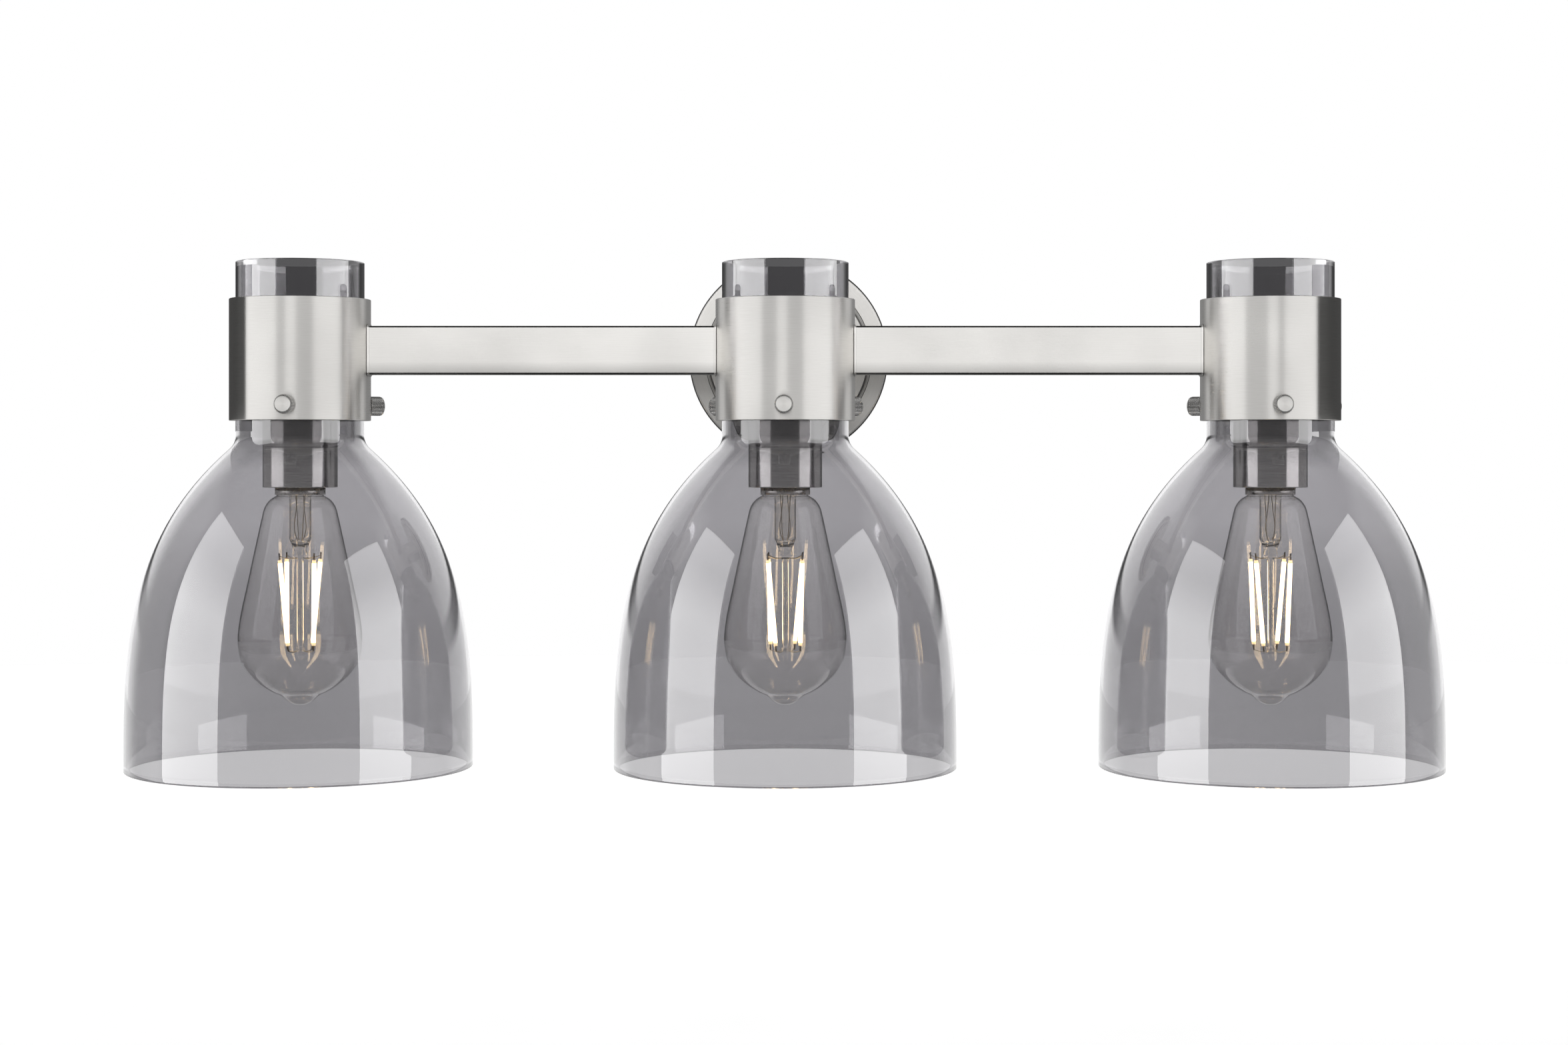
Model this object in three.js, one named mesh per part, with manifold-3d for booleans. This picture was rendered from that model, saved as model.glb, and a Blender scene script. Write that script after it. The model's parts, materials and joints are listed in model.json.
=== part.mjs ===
// Vanity light bar with three bell shades. Millimetres, Z up.
// The wall is the plane Y = 0, and the light bar stands out of it towards -Y.
import * as THREE from 'three';
import Module from 'manifold-3d';
import { mergeVertices } from 'three/addons/utils/BufferGeometryUtils.js';

const wasm = await Module();
wasm.setup();

// clearance between pieces that touch
const GAP = 0.3;
const HALF_TURN = Math.PI;

// the three lights, by their axis in X, on one line in front of the wall
const LIGHTS = { left: -254, middle: 0, right: 254 };
const AXIS_Y = -118;

// holder ring
const RING_RADIUS = 36.5;
const RING_BORE = 34.7;
const RING_TOP = 26.75;
const RING_BOTTOM = -36.75;
const RING_EDGE = 0.4;
const RING_SEGMENTS = 28;

// the arm's square tube, and the bar's flat one, which is as high and half as deep
const TUBE_WIDTH = 25.4;
const BAR_DEPTH = 12.7;
const TUBE_WALL = 1.6;
const TUBE_CORNER = 1.2;
const WIRE_HOLE_RADIUS = 4;

// wall canopy
const CANOPY_RADIUS = 56;
const CANOPY_DEPTH = 20;
const BRIM_DEPTH = 15;
const CANOPY_WALL = 1.2;
const STEP_RADIUS = 46.4;
const CANOPY_SCREW_X = 38.1;
const SCREW_RADIUS = 2;
const SCREW_HOLE = SCREW_RADIUS + GAP;

// crossbar on the outlet box
const BRACKET_LENGTH = 100;
const BRACKET_WIDTH = 18;
const BRACKET_THICKNESS = 2;
const GROUND_SCREW_X = -20;

// threaded tube that holds the arm to the canopy
const NIPPLE_RADIUS = 6.4;
const NIPPLE_BORE = 4.4;
const NIPPLE_HOLE = NIPPLE_RADIUS + GAP;
const ARM_PLATE = 3;

// plate inside the ring, with the stem that the socket hangs on
const PLATE_TOP = 9;
const PLATE_BOTTOM = 6;
const PLATE_RADIUS = 34.1;
const STEM_RADIUS = 5;
const STEM_END = -24;

// socket
const CUP_RADIUS = 19.25;
const CUP_WALL = 1;
const CUP_TOP = -20;
const CUP_BOTTOM = -72;
const HOLDER_RADIUS = 17.9;
const HOLDER_BORE = 13.9;
const HOLDER_BOTTOM = -70;

// glass neck above the ring
const NECK_RADIUS = 33.15;
const NECK_GLASS = 2.7;
const NECK_TOP = 46.2;

// bell shade
const BELL_TOP = -12;
const BELL_NECK_END = -45;
const BELL_RIM = -218.3;
const BELL_RADIUS = 89.8;
const BELL_GLASS = 1.8;
const SHADE_SEGMENTS = 24;

// screw base and bulb
const BASE_TOP = -50;
const BASE_BOTTOM = -75.8;
const BASE_RADIUS = 13;
const BASE_BORE = 12.3;
const BASE_FLOOR = -68;
const BULB_GLASS = 0.8;
const BULB_TIP = -185.8;
const BULB_SEGMENTS = 16;

// light filaments
const FILAMENT_COUNT = 4;
const FILAMENT_RADIUS = 0.9;
const FILAMENT_TOP = { radius: 12.7, z: -109 };
const FILAMENT_END = { radius: 9.2, z: -155 };
const FILAMENT_TWIST = 0.22;
const WIRE_RADIUS = 0.45;

// thumb screws, three to a ring
const THUMB_Z = -28.8;
const THUMB_ANGLES = { front: -90, back_left: 150, back_right: 30 };
const THUMB_HEAD_RADIUS = 5.1;
const THUMB_HEAD_START = 37.6;
const THUMB_HEAD_END = 45.3;
const THUMB_TIP = NECK_RADIUS + GAP;
const THUMB_SHANK_END = 43;

const LOOKS = {
  nickel: { color: 0xcfccc7, roughness: 0.34, metalness: 1 },
  zinc: { color: 0xb4b6b8, roughness: 0.45, metalness: 1 },
  green: { color: 0x2f6b3c, roughness: 0.5, metalness: 0.2 },
  smoke: { color: 0x8c8a8d, roughness: 0.03, metalness: 0, transparent: true, opacity: 0.45 },
  clear: { color: 0xe9e7e4, roughness: 0.02, metalness: 0, transparent: true, opacity: 0.2 },
  porcelain: { color: 0xe6e1d8, roughness: 0.35, metalness: 0 },
  base: { color: 0xb9b6b0, roughness: 0.3, metalness: 1 },
  filament: { color: 0xffd27a, roughness: 0.6, metalness: 0 },
};

const group = new THREE.Group();

function add(name, look, geometry) {
  const mesh = new THREE.Mesh(geometry, new THREE.MeshStandardMaterial(LOOKS[look]));
  mesh.name = name;
  group.add(mesh);
}

// A solid of revolution about Z from [radius, z] points listed anticlockwise.
function turned(points, segments) {
  const closed = points.map(([r, z]) => new THREE.Vector2(r, z));
  if (points[0][0] > 0) {
    closed.push(closed[0].clone());
  }
  return new THREE.LatheGeometry(closed, segments).rotateX(HALF_TURN / 2);
}

// The same, about an axis that leaves the wall: z counts from the wall outwards.
function turnedOnWall(points, segments) {
  return turned(points, segments).rotateX(HALF_TURN / 2);
}

function toSolid(geometry) {
  const bare = geometry.clone();
  bare.deleteAttribute('normal');
  bare.deleteAttribute('uv');
  const merged = mergeVertices(bare, 1e-4);
  const vertProperties = new Float32Array(merged.attributes.position.array);
  const triVerts = new Uint32Array(merged.index.array);
  return new wasm.Manifold(new wasm.Mesh({ numProp: 3, vertProperties, triVerts }));
}

function toGeometry(solid) {
  const mesh = solid.getMesh();
  const geometry = new THREE.BufferGeometry();
  geometry.setAttribute('position', new THREE.BufferAttribute(mesh.vertProperties, 3));
  geometry.setIndex(new THREE.BufferAttribute(mesh.triVerts, 1));
  geometry.computeVertexNormals();
  return geometry;
}

function cut(geometry, tools) {
  let solid = toSolid(geometry);
  for (const tool of tools) {
    solid = solid.subtract(toSolid(tool));
  }
  return toGeometry(solid);
}

function join(geometries) {
  let solid = toSolid(geometries[0]);
  for (const geometry of geometries.slice(1)) {
    solid = solid.add(toSolid(geometry));
  }
  return toGeometry(solid);
}

// A round bar from one point to another.
function rod(radius, from, to, segments) {
  const start = new THREE.Vector3(...from);
  const along = new THREE.Vector3(...to).sub(start);
  const geometry = new THREE.CylinderGeometry(radius, radius, along.length(), segments);
  const turn = new THREE.Quaternion();
  turn.setFromUnitVectors(new THREE.Vector3(0, 1, 0), along.clone().normalize());
  geometry.applyQuaternion(turn);
  return geometry.translate(...start.addScaledVector(along, 0.5).toArray());
}

function roundedBox(width, height, corner) {
  const x = width / 2;
  const y = height / 2;
  const shape = new THREE.Shape();
  shape.moveTo(-x + corner, -y);
  shape.lineTo(x - corner, -y);
  shape.quadraticCurveTo(x, -y, x, -y + corner);
  shape.lineTo(x, y - corner);
  shape.quadraticCurveTo(x, y, x - corner, y);
  shape.lineTo(-x + corner, y);
  shape.quadraticCurveTo(-x, y, -x, y - corner);
  shape.lineTo(-x, -y + corner);
  shape.quadraticCurveTo(-x, -y, -x + corner, -y);
  return shape;
}

// A bar along X, centred on the lights' line.
function barAlongX(height, depth, corner, fromX, toX) {
  const settings = { depth: toX - fromX, bevelEnabled: false, curveSegments: 2 };
  const bar = new THREE.ExtrudeGeometry(roundedBox(height, depth, corner), settings);
  return bar.rotateY(HALF_TURN / 2).translate(fromX, AXIS_Y, 0);
}

function copeCutter(lightX) {
  const radius = RING_RADIUS + GAP;
  return rod(radius, [lightX, AXIS_Y, -40], [lightX, AXIS_Y, 40], 48);
}

function addBar(name, fromX, toX) {
  const innerHeight = TUBE_WIDTH - 2 * TUBE_WALL;
  const innerDepth = BAR_DEPTH - 2 * TUBE_WALL;
  const bar = barAlongX(TUBE_WIDTH, BAR_DEPTH, TUBE_CORNER, fromX + 20, toX - 20);
  const bore = barAlongX(innerHeight, innerDepth, TUBE_CORNER / 2, fromX + 10, toX - 10);
  add(name, 'nickel', cut(bar, [bore, copeCutter(fromX), copeCutter(toX)]));
}

function addArm() {
  const inner = TUBE_WIDTH - 2 * TUBE_WALL;
  const start = CANOPY_DEPTH + GAP;
  const end = -AXIS_Y - 20;
  const settings = { depth: end - start, bevelEnabled: false, curveSegments: 2 };
  const arm = new THREE.ExtrudeGeometry(roundedBox(TUBE_WIDTH, TUBE_WIDTH, TUBE_CORNER), settings);
  const bore = new THREE.ExtrudeGeometry(roundedBox(inner, inner, TUBE_CORNER / 2), settings);
  arm.rotateX(HALF_TURN / 2).translate(0, -start, 0);
  bore.rotateX(HALF_TURN / 2).translate(0, -start - ARM_PLATE, 0);
  const hole = rod(NIPPLE_HOLE, [0, 0, 0], [0, -40, 0], 20);
  add('arm', 'nickel', cut(arm, [bore, hole, copeCutter(0)]));
}

function addCanopy() {
  const brimBack = BRIM_DEPTH - CANOPY_WALL;
  const faceBack = CANOPY_DEPTH - CANOPY_WALL;
  const dish = turnedOnWall([
    [0, faceBack],
    [STEP_RADIUS - 3.5, faceBack],
    [STEP_RADIUS - 3, BRIM_DEPTH + 1.2],
    [STEP_RADIUS - 1.6, BRIM_DEPTH + 1],
    [STEP_RADIUS - 1.2, brimBack],
    [CANOPY_RADIUS - 1.8, brimBack],
    [CANOPY_RADIUS - CANOPY_WALL, BRIM_DEPTH - 1.8],
    [CANOPY_RADIUS - CANOPY_WALL, 0],
    [CANOPY_RADIUS, 0],
    [CANOPY_RADIUS, BRIM_DEPTH - 1.2],
    [CANOPY_RADIUS - 0.4, BRIM_DEPTH - 0.4],
    [CANOPY_RADIUS - 1.2, BRIM_DEPTH],
    [STEP_RADIUS, BRIM_DEPTH],
    [STEP_RADIUS - 0.4, BRIM_DEPTH + 2.2],
    [STEP_RADIUS - 1.8, BRIM_DEPTH + 2.4],
    [STEP_RADIUS - 2.2, CANOPY_DEPTH - 0.5],
    [STEP_RADIUS - 2.7, CANOPY_DEPTH],
    [0, CANOPY_DEPTH],
  ], 36);
  const holes = [rod(NIPPLE_HOLE, [0, 0, 0], [0, -40, 0], 20)];
  for (const side of [-1, 1]) {
    const x = side * CANOPY_SCREW_X;
    holes.push(rod(SCREW_HOLE, [x, 0, 0], [x, -40, 0], 12));
  }
  add('canopy', 'nickel', cut(dish, holes));
}

function addBracket() {
  const plate = new THREE.BoxGeometry(BRACKET_LENGTH, BRACKET_THICKNESS, BRACKET_WIDTH);
  plate.translate(0, -BRACKET_THICKNESS / 2, 0);
  const holes = [rod(NIPPLE_HOLE, [0, 5, 0], [0, -5, 0], 20)];
  for (const x of [-CANOPY_SCREW_X, CANOPY_SCREW_X, GROUND_SCREW_X]) {
    holes.push(rod(SCREW_HOLE, [x, 5, 0], [x, -5, 0], 12));
  }
  add('wall_bracket', 'zinc', cut(plate, holes));
}

function addWallHardware() {
  for (const [side, x] of [['left', -CANOPY_SCREW_X], ['right', CANOPY_SCREW_X]]) {
    add(`canopy_screw_${side}`, 'zinc', rod(SCREW_RADIUS, [x, -0.4, 0], [x, -27, 0], 12));
    const nut = turnedOnWall([
      [0, 27.3],
      [SCREW_HOLE, 27.3],
      [SCREW_HOLE, CANOPY_DEPTH + GAP],
      [5, CANOPY_DEPTH + GAP],
      [5, 27],
      [3.8, 29],
      [0, 29.6],
    ], 16);
    add(`cap_nut_${side}`, 'nickel', nut.translate(x, 0, 0));
  }
  const ground = turnedOnWall([
    [0, 0.3],
    [SCREW_RADIUS, 0.3],
    [SCREW_RADIUS, 2.3],
    [3.8, 2.3],
    [3.2, 4.4],
    [0, 4.4],
  ], 12);
  add('ground_screw', 'green', ground.translate(GROUND_SCREW_X, 0, 0));
  add('arm_nipple', 'zinc', turnedOnWall([
    [NIPPLE_BORE, 1],
    [NIPPLE_RADIUS, 1],
    [NIPPLE_RADIUS, 25],
    [NIPPLE_BORE, 25],
  ], 16));
  const nutFront = CANOPY_DEPTH - CANOPY_WALL - GAP;
  const hexagon = rod(10.1, [0, -nutFront + 5, 0], [0, -nutFront, 0], 6);
  add('arm_nut', 'zinc', cut(hexagon, [rod(NIPPLE_HOLE, [0, 0, 0], [0, -40, 0], 16)]));
}

function addRing(light) {
  const x = LIGHTS[light];
  const ring = turned([
    [RING_BORE, RING_BOTTOM],
    [RING_RADIUS - RING_EDGE, RING_BOTTOM],
    [RING_RADIUS, RING_BOTTOM + RING_EDGE],
    [RING_RADIUS, RING_TOP - RING_EDGE],
    [RING_RADIUS - RING_EDGE, RING_TOP],
    [RING_BORE, RING_TOP],
  ], RING_SEGMENTS).translate(x, AXIS_Y, 0);
  const holes = [];
  for (const angle of Object.values(THUMB_ANGLES)) {
    holes.push(radialRod(x, angle, THUMB_Z, SCREW_HOLE, 10));
  }
  const wireAngles = { left: [0], middle: [0, 180, 90], right: [180] };
  for (const angle of wireAngles[light]) {
    holes.push(radialRod(x, angle, 0, WIRE_HOLE_RADIUS, 12));
  }
  add(`holder_ring_${light}`, 'nickel', cut(ring, holes));
}

// A rod through one side of a ring, pointing outwards at an angle from +X.
function radialRod(x, degrees, z, radius, segments) {
  const angle = THREE.MathUtils.degToRad(degrees);
  const tool = rod(radius, [20, 0, z], [60, 0, z], segments);
  return tool.rotateZ(angle).translate(x, AXIS_Y, 0);
}

function addSocket(light) {
  const place = [LIGHTS[light], AXIS_Y, 0];
  const plate = turned([
    [0, STEM_END],
    [STEM_RADIUS, STEM_END],
    [STEM_RADIUS, PLATE_BOTTOM],
    [PLATE_RADIUS, PLATE_BOTTOM],
    [PLATE_RADIUS, PLATE_TOP],
    [0, PLATE_TOP],
  ], 16);
  add(`socket_plate_${light}`, 'nickel', plate.translate(...place));
  const inside = CUP_RADIUS - CUP_WALL;
  const cup = turned([
    [inside, CUP_BOTTOM],
    [CUP_RADIUS, CUP_BOTTOM],
    [CUP_RADIUS, CUP_TOP - 0.6],
    [CUP_RADIUS - 0.6, CUP_TOP],
    [STEM_RADIUS + GAP, CUP_TOP],
    [STEM_RADIUS + GAP, CUP_TOP - CUP_WALL],
    [inside, CUP_TOP - CUP_WALL],
  ], 16);
  const wireHoles = [-1, 1].map((side) => rod(2.5, [side * 11, 0, -30], [side * 11, 0, 0], 8));
  add(`socket_cup_${light}`, 'nickel', cut(cup, wireHoles).translate(...place));
  const holder = turned([
    [0, BASE_TOP + GAP],
    [HOLDER_BORE, BASE_TOP + GAP],
    [HOLDER_BORE, HOLDER_BOTTOM],
    [HOLDER_RADIUS, HOLDER_BOTTOM],
    [HOLDER_RADIUS, STEM_END - GAP],
    [0, STEM_END - GAP],
  ], 16);
  add(`lampholder_${light}`, 'porcelain', holder.translate(...place));
}

function addUpperGlass(light) {
  const inner = NECK_RADIUS - NECK_GLASS;
  const bottom = PLATE_TOP + GAP;
  const glass = turned([
    [inner, bottom],
    [NECK_RADIUS, bottom],
    [NECK_RADIUS, NECK_TOP - 0.6],
    [NECK_RADIUS - 0.6, NECK_TOP],
    [inner, NECK_TOP],
  ], SHADE_SEGMENTS);
  add(`upper_glass_${light}`, 'smoke', glass.translate(LIGHTS[light], AXIS_Y, 0));
}

// The outside of the bell, from its rim up to the top of its neck.
function bellOutside() {
  const bell = new THREE.CubicBezierCurve(
    new THREE.Vector2(BELL_RADIUS, BELL_RIM + 0.8),
    new THREE.Vector2(BELL_RADIUS, -153),
    new THREE.Vector2(88.3, -98.5),
    new THREE.Vector2(36.7, -52),
  );
  const throat = new THREE.QuadraticBezierCurve(
    new THREE.Vector2(36.7, -52),
    new THREE.Vector2(NECK_RADIUS, -49),
    new THREE.Vector2(NECK_RADIUS, BELL_NECK_END),
  );
  const points = [...bell.getPoints(7), ...throat.getPoints(2).slice(1)];
  points.push(new THREE.Vector2(NECK_RADIUS, BELL_TOP));
  return points;
}

// The same outline, moved inwards by the thickness of the glass.
function offsetInwards(points, thickness) {
  return points.map((point, i) => {
    const before = points[Math.max(i - 1, 0)];
    const after = points[Math.min(i + 1, points.length - 1)];
    const along = after.clone().sub(before).normalize();
    return new THREE.Vector2(point.x - along.y * thickness, point.y + along.x * thickness);
  });
}

function addShade(light) {
  const outside = bellOutside();
  const inside = offsetInwards(outside, BELL_GLASS).reverse();
  const middle = BELL_RADIUS - BELL_GLASS / 2;
  const profile = [
    [middle - 0.6, BELL_RIM],
    [middle + 0.6, BELL_RIM],
    ...outside.map((p) => p.toArray()),
    ...inside.map((p) => p.toArray()),
  ];
  const shade = turned(profile, SHADE_SEGMENTS);
  add(`bell_shade_${light}`, 'smoke', shade.translate(LIGHTS[light], AXIS_Y, 0));
}

function bulbOutside() {
  const body = new THREE.SplineCurve([
    new THREE.Vector2(7.6, -182.2),
    new THREE.Vector2(12.5, -178.9),
    new THREE.Vector2(20, -175),
    new THREE.Vector2(26.7, -168.4),
    new THREE.Vector2(30.5, -161.6),
    new THREE.Vector2(32, -151.5),
    new THREE.Vector2(30.2, -136.2),
    new THREE.Vector2(24.7, -110.4),
    new THREE.Vector2(19.6, -87),
    new THREE.Vector2(16.6, -79.3),
    new THREE.Vector2(12.9, -76.4),
  ]);
  return [
    new THREE.Vector2(3.6, BULB_TIP + 0.9),
    ...body.getPoints(10),
    new THREE.Vector2(BASE_BORE - GAP - 0.1, -75.6),
    new THREE.Vector2(BASE_BORE - GAP - 0.1, BASE_FLOOR - 0.5),
  ];
}

function addBulb(light) {
  const place = [LIGHTS[light], AXIS_Y, 0];
  const base = turned([
    [0, BASE_FLOOR],
    [BASE_BORE, BASE_FLOOR],
    [BASE_BORE, BASE_BOTTOM],
    [BASE_RADIUS, BASE_BOTTOM],
    [BASE_RADIUS, BASE_TOP - 7],
    [10.5, BASE_TOP - 4.5],
    [4.4, BASE_TOP - 1.5],
    [4.4, BASE_TOP],
    [0, BASE_TOP],
  ], BULB_SEGMENTS);
  add(`bulb_base_${light}`, 'base', base.translate(...place));
  const outside = bulbOutside();
  const inside = offsetInwards(outside, BULB_GLASS).reverse();
  const glass = turned([
    [0, BULB_TIP],
    ...outside.map((p) => p.toArray()),
    ...inside.map((p) => p.toArray()),
    [0, BULB_TIP + BULB_GLASS],
  ], BULB_SEGMENTS);
  add(`bulb_glass_${light}`, 'clear', glass.translate(...place));
  const stem = turned([
    [0, -158],
    [1.8, -157.6],
    [2.4, -156.5],
    [1.75, -154.8],
    [1.75, -109],
    [3, -106],
    [2.6, -103],
    [5.6, -98.5],
    [5.6, -76],
    [10.4, -69],
    [0, -69],
  ], 12);
  add(`bulb_stem_${light}`, 'clear', stem.translate(...place));
  add(`bulb_filaments_${light}`, 'filament', filamentCage().translate(...place));
}

// Four leaning filaments, wired to a hoop round the stem and to a bead under it.
function filamentCage() {
  const hoopRadius = 2.7;
  const hoop = new THREE.TorusGeometry(hoopRadius, WIRE_RADIUS, 4, 10);
  hoop.translate(0, 0, -111);
  const pieces = [hoop, rod(1.4, [0, 0, -158.5], [0, 0, -159.7], 8)];
  for (let i = 0; i < FILAMENT_COUNT; i += 1) {
    const angle = HALF_TURN / 4 + (i * 2 * HALF_TURN) / FILAMENT_COUNT;
    const at = (radius, turn, z) => [radius * Math.cos(angle + turn), radius * Math.sin(angle + turn), z];
    const top = at(FILAMENT_TOP.radius, 0, FILAMENT_TOP.z);
    const end = at(FILAMENT_END.radius, FILAMENT_TWIST, FILAMENT_END.z);
    pieces.push(rod(FILAMENT_RADIUS, top, end, 6));
    pieces.push(rod(WIRE_RADIUS, at(hoopRadius, 0, -111), at(FILAMENT_TOP.radius, 0, -109.6), 4));
    pieces.push(rod(WIRE_RADIUS, [0, 0, -159.1], at(FILAMENT_END.radius, FILAMENT_TWIST, -154.6), 4));
  }
  return join(pieces);
}

function addThumbScrews(light) {
  for (const [position, degrees] of Object.entries(THUMB_ANGLES)) {
    const shank = rod(SCREW_RADIUS, [0, 0, THUMB_TIP], [0, 0, THUMB_SHANK_END], 8);
    const head = turned([
      [0, THUMB_SHANK_END + GAP],
      [SCREW_HOLE, THUMB_SHANK_END + GAP],
      [SCREW_HOLE, THUMB_HEAD_START],
      [THUMB_HEAD_RADIUS, THUMB_HEAD_START],
      [THUMB_HEAD_RADIUS, THUMB_HEAD_END - 0.6],
      [THUMB_HEAD_RADIUS - 0.6, THUMB_HEAD_END],
      [0, THUMB_HEAD_END],
    ], 12);
    for (const piece of [shank, head]) {
      piece.rotateY(HALF_TURN / 2);
      piece.rotateZ(THREE.MathUtils.degToRad(degrees));
      piece.translate(LIGHTS[light], AXIS_Y, THUMB_Z);
    }
    add(`thumb_shank_${light}_${position}`, 'zinc', shank);
    add(`thumb_head_${light}_${position}`, 'nickel', head);
  }
}

addCanopy();
addBracket();
addWallHardware();
addArm();
addBar('bar_left', LIGHTS.left, LIGHTS.middle);
addBar('bar_right', LIGHTS.middle, LIGHTS.right);
for (const light of Object.keys(LIGHTS)) {
  addRing(light);
  addSocket(light);
  addUpperGlass(light);
  addShade(light);
  addBulb(light);
  addThumbScrews(light);
}

export default group;
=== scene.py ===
import json
from math import copysign, cos, hypot, pi, radians, sin, sqrt, tan

import bpy
from mathutils import Matrix, Vector

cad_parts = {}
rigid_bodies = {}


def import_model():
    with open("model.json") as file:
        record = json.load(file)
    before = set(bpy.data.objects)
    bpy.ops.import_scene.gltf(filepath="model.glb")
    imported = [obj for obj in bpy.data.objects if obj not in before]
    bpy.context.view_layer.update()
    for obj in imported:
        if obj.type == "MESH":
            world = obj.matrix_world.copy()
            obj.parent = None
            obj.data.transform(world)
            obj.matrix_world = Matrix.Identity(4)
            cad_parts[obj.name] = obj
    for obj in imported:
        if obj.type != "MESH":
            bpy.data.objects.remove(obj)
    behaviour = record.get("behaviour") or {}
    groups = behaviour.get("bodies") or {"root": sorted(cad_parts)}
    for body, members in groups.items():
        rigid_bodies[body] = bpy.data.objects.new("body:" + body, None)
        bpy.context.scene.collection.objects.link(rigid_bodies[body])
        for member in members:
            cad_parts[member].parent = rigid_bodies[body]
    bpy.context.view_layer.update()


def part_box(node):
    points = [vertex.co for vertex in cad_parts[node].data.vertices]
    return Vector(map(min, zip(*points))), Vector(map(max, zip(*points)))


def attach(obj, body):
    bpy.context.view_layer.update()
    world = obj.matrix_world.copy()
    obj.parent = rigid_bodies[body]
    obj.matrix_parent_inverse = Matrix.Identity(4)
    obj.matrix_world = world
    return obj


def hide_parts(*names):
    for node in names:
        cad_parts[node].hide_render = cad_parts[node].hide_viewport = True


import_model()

MM = 0.001
LIGHTS = ("left", "middle", "right")
SCREWS = {"front": -90, "back_left": 150, "back_right": 30}
GAP = 0.3 * MM
NIPPLE_HOLE = 6.7 * MM
STUD_HOLE = 2.3 * MM

scene = bpy.context.scene


# -------- camera

CAMERA_DISTANCE = 1.380   # from the line that the lights stand on
CAMERA_HEIGHT = -0.0555
FOCAL_MM = 60.5
CAMERA_X = 0.024
SHIFT_X = -0.03006
SHIFT_Y = -0.0421

ring_low, ring_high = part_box("holder_ring_middle")
AXIS_Y = (ring_low.y + ring_high.y) / 2

camera_data = bpy.data.cameras.new("camera")
camera_data.lens = FOCAL_MM
camera_data.sensor_width = 36
camera_data.shift_x = SHIFT_X
camera_data.shift_y = SHIFT_Y
camera = bpy.data.objects.new("camera", camera_data)
scene.collection.objects.link(camera)
camera.location = (CAMERA_X, AXIS_Y - CAMERA_DISTANCE, CAMERA_HEIGHT)
camera.rotation_euler = (pi / 2, 0, 0)
scene.camera = camera


# -------- outlines

def filleted(corners, steps=4):
    """Points of an outline whose corners are (x, y, fillet radius in millimetres)."""
    points = []
    count = len(corners)
    for i, (x, y, radius) in enumerate(corners):
        here = Vector((x, y))
        if not radius:
            points.append(here)
            continue
        back = Vector(corners[i - 1][:2]) - here
        ahead = Vector(corners[(i + 1) % count][:2]) - here
        half = back.angle(ahead) / 2
        reach = min(radius * MM / tan(half), 0.48 * back.length, 0.48 * ahead.length)
        first = here + back.normalized() * reach
        last = here + ahead.normalized() * reach
        for k in range(steps + 1):
            t = k / steps
            points.append(first * (1 - t) ** 2 + here * (2 * t * (1 - t)) + last * t * t)
    return points


def bezier(a, b, c, d, steps):
    points = []
    for k in range(steps + 1):
        t = k / steps
        s = 1 - t
        points.append(a * s ** 3 + b * (3 * s * s * t) + c * (3 * s * t * t) + d * t ** 3)
    return points


def through(points, steps):
    """A smooth curve through points, by Catmull and Rom's rule."""
    found = []
    last = len(points) - 1
    for i in range(last):
        p0 = points[max(i - 1, 0)]
        p1 = points[i]
        p2 = points[i + 1]
        p3 = points[min(i + 2, last)]
        for k in range(steps):
            t = k / steps
            found.append(0.5 * (2 * p1 + (p2 - p0) * t + (2 * p0 - 5 * p1 + 4 * p2 - p3) * t * t
                                + (3 * p1 - p0 - 3 * p2 + p3) * t ** 3))
    found.append(points[-1])
    return found


def inset(points, thickness):
    """The same outline moved to its left by a thickness."""
    found = []
    last = len(points) - 1
    for i, point in enumerate(points):
        along = (points[min(i + 1, last)] - points[max(i - 1, 0)]).normalized()
        found.append(Vector((point.x - along.y * thickness, point.y + along.x * thickness)))
    return found


# -------- meshes

def new_object(name, verts, faces, uvs, smooth=True):
    mesh = bpy.data.meshes.new(name)
    mesh.from_pydata([tuple(v) for v in verts], [], faces)
    layer = mesh.uv_layers.new(name="UVMap")
    for polygon, face_uvs in zip(mesh.polygons, uvs):
        for loop, uv in zip(polygon.loop_indices, face_uvs):
            layer.data[loop].uv = uv
        polygon.use_smooth = smooth
    mesh.validate()
    mesh.update()
    obj = bpy.data.objects.new(name, mesh)
    scene.collection.objects.link(obj)
    return obj


def weighted(obj):
    """Keeps flat faces flat beside their rounded edges."""
    modifier = obj.modifiers.new("normals", "WEIGHTED_NORMAL")
    modifier.mode = "FACE_AREA"
    modifier.weight = 100
    modifier.keep_sharp = True
    return obj


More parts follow.
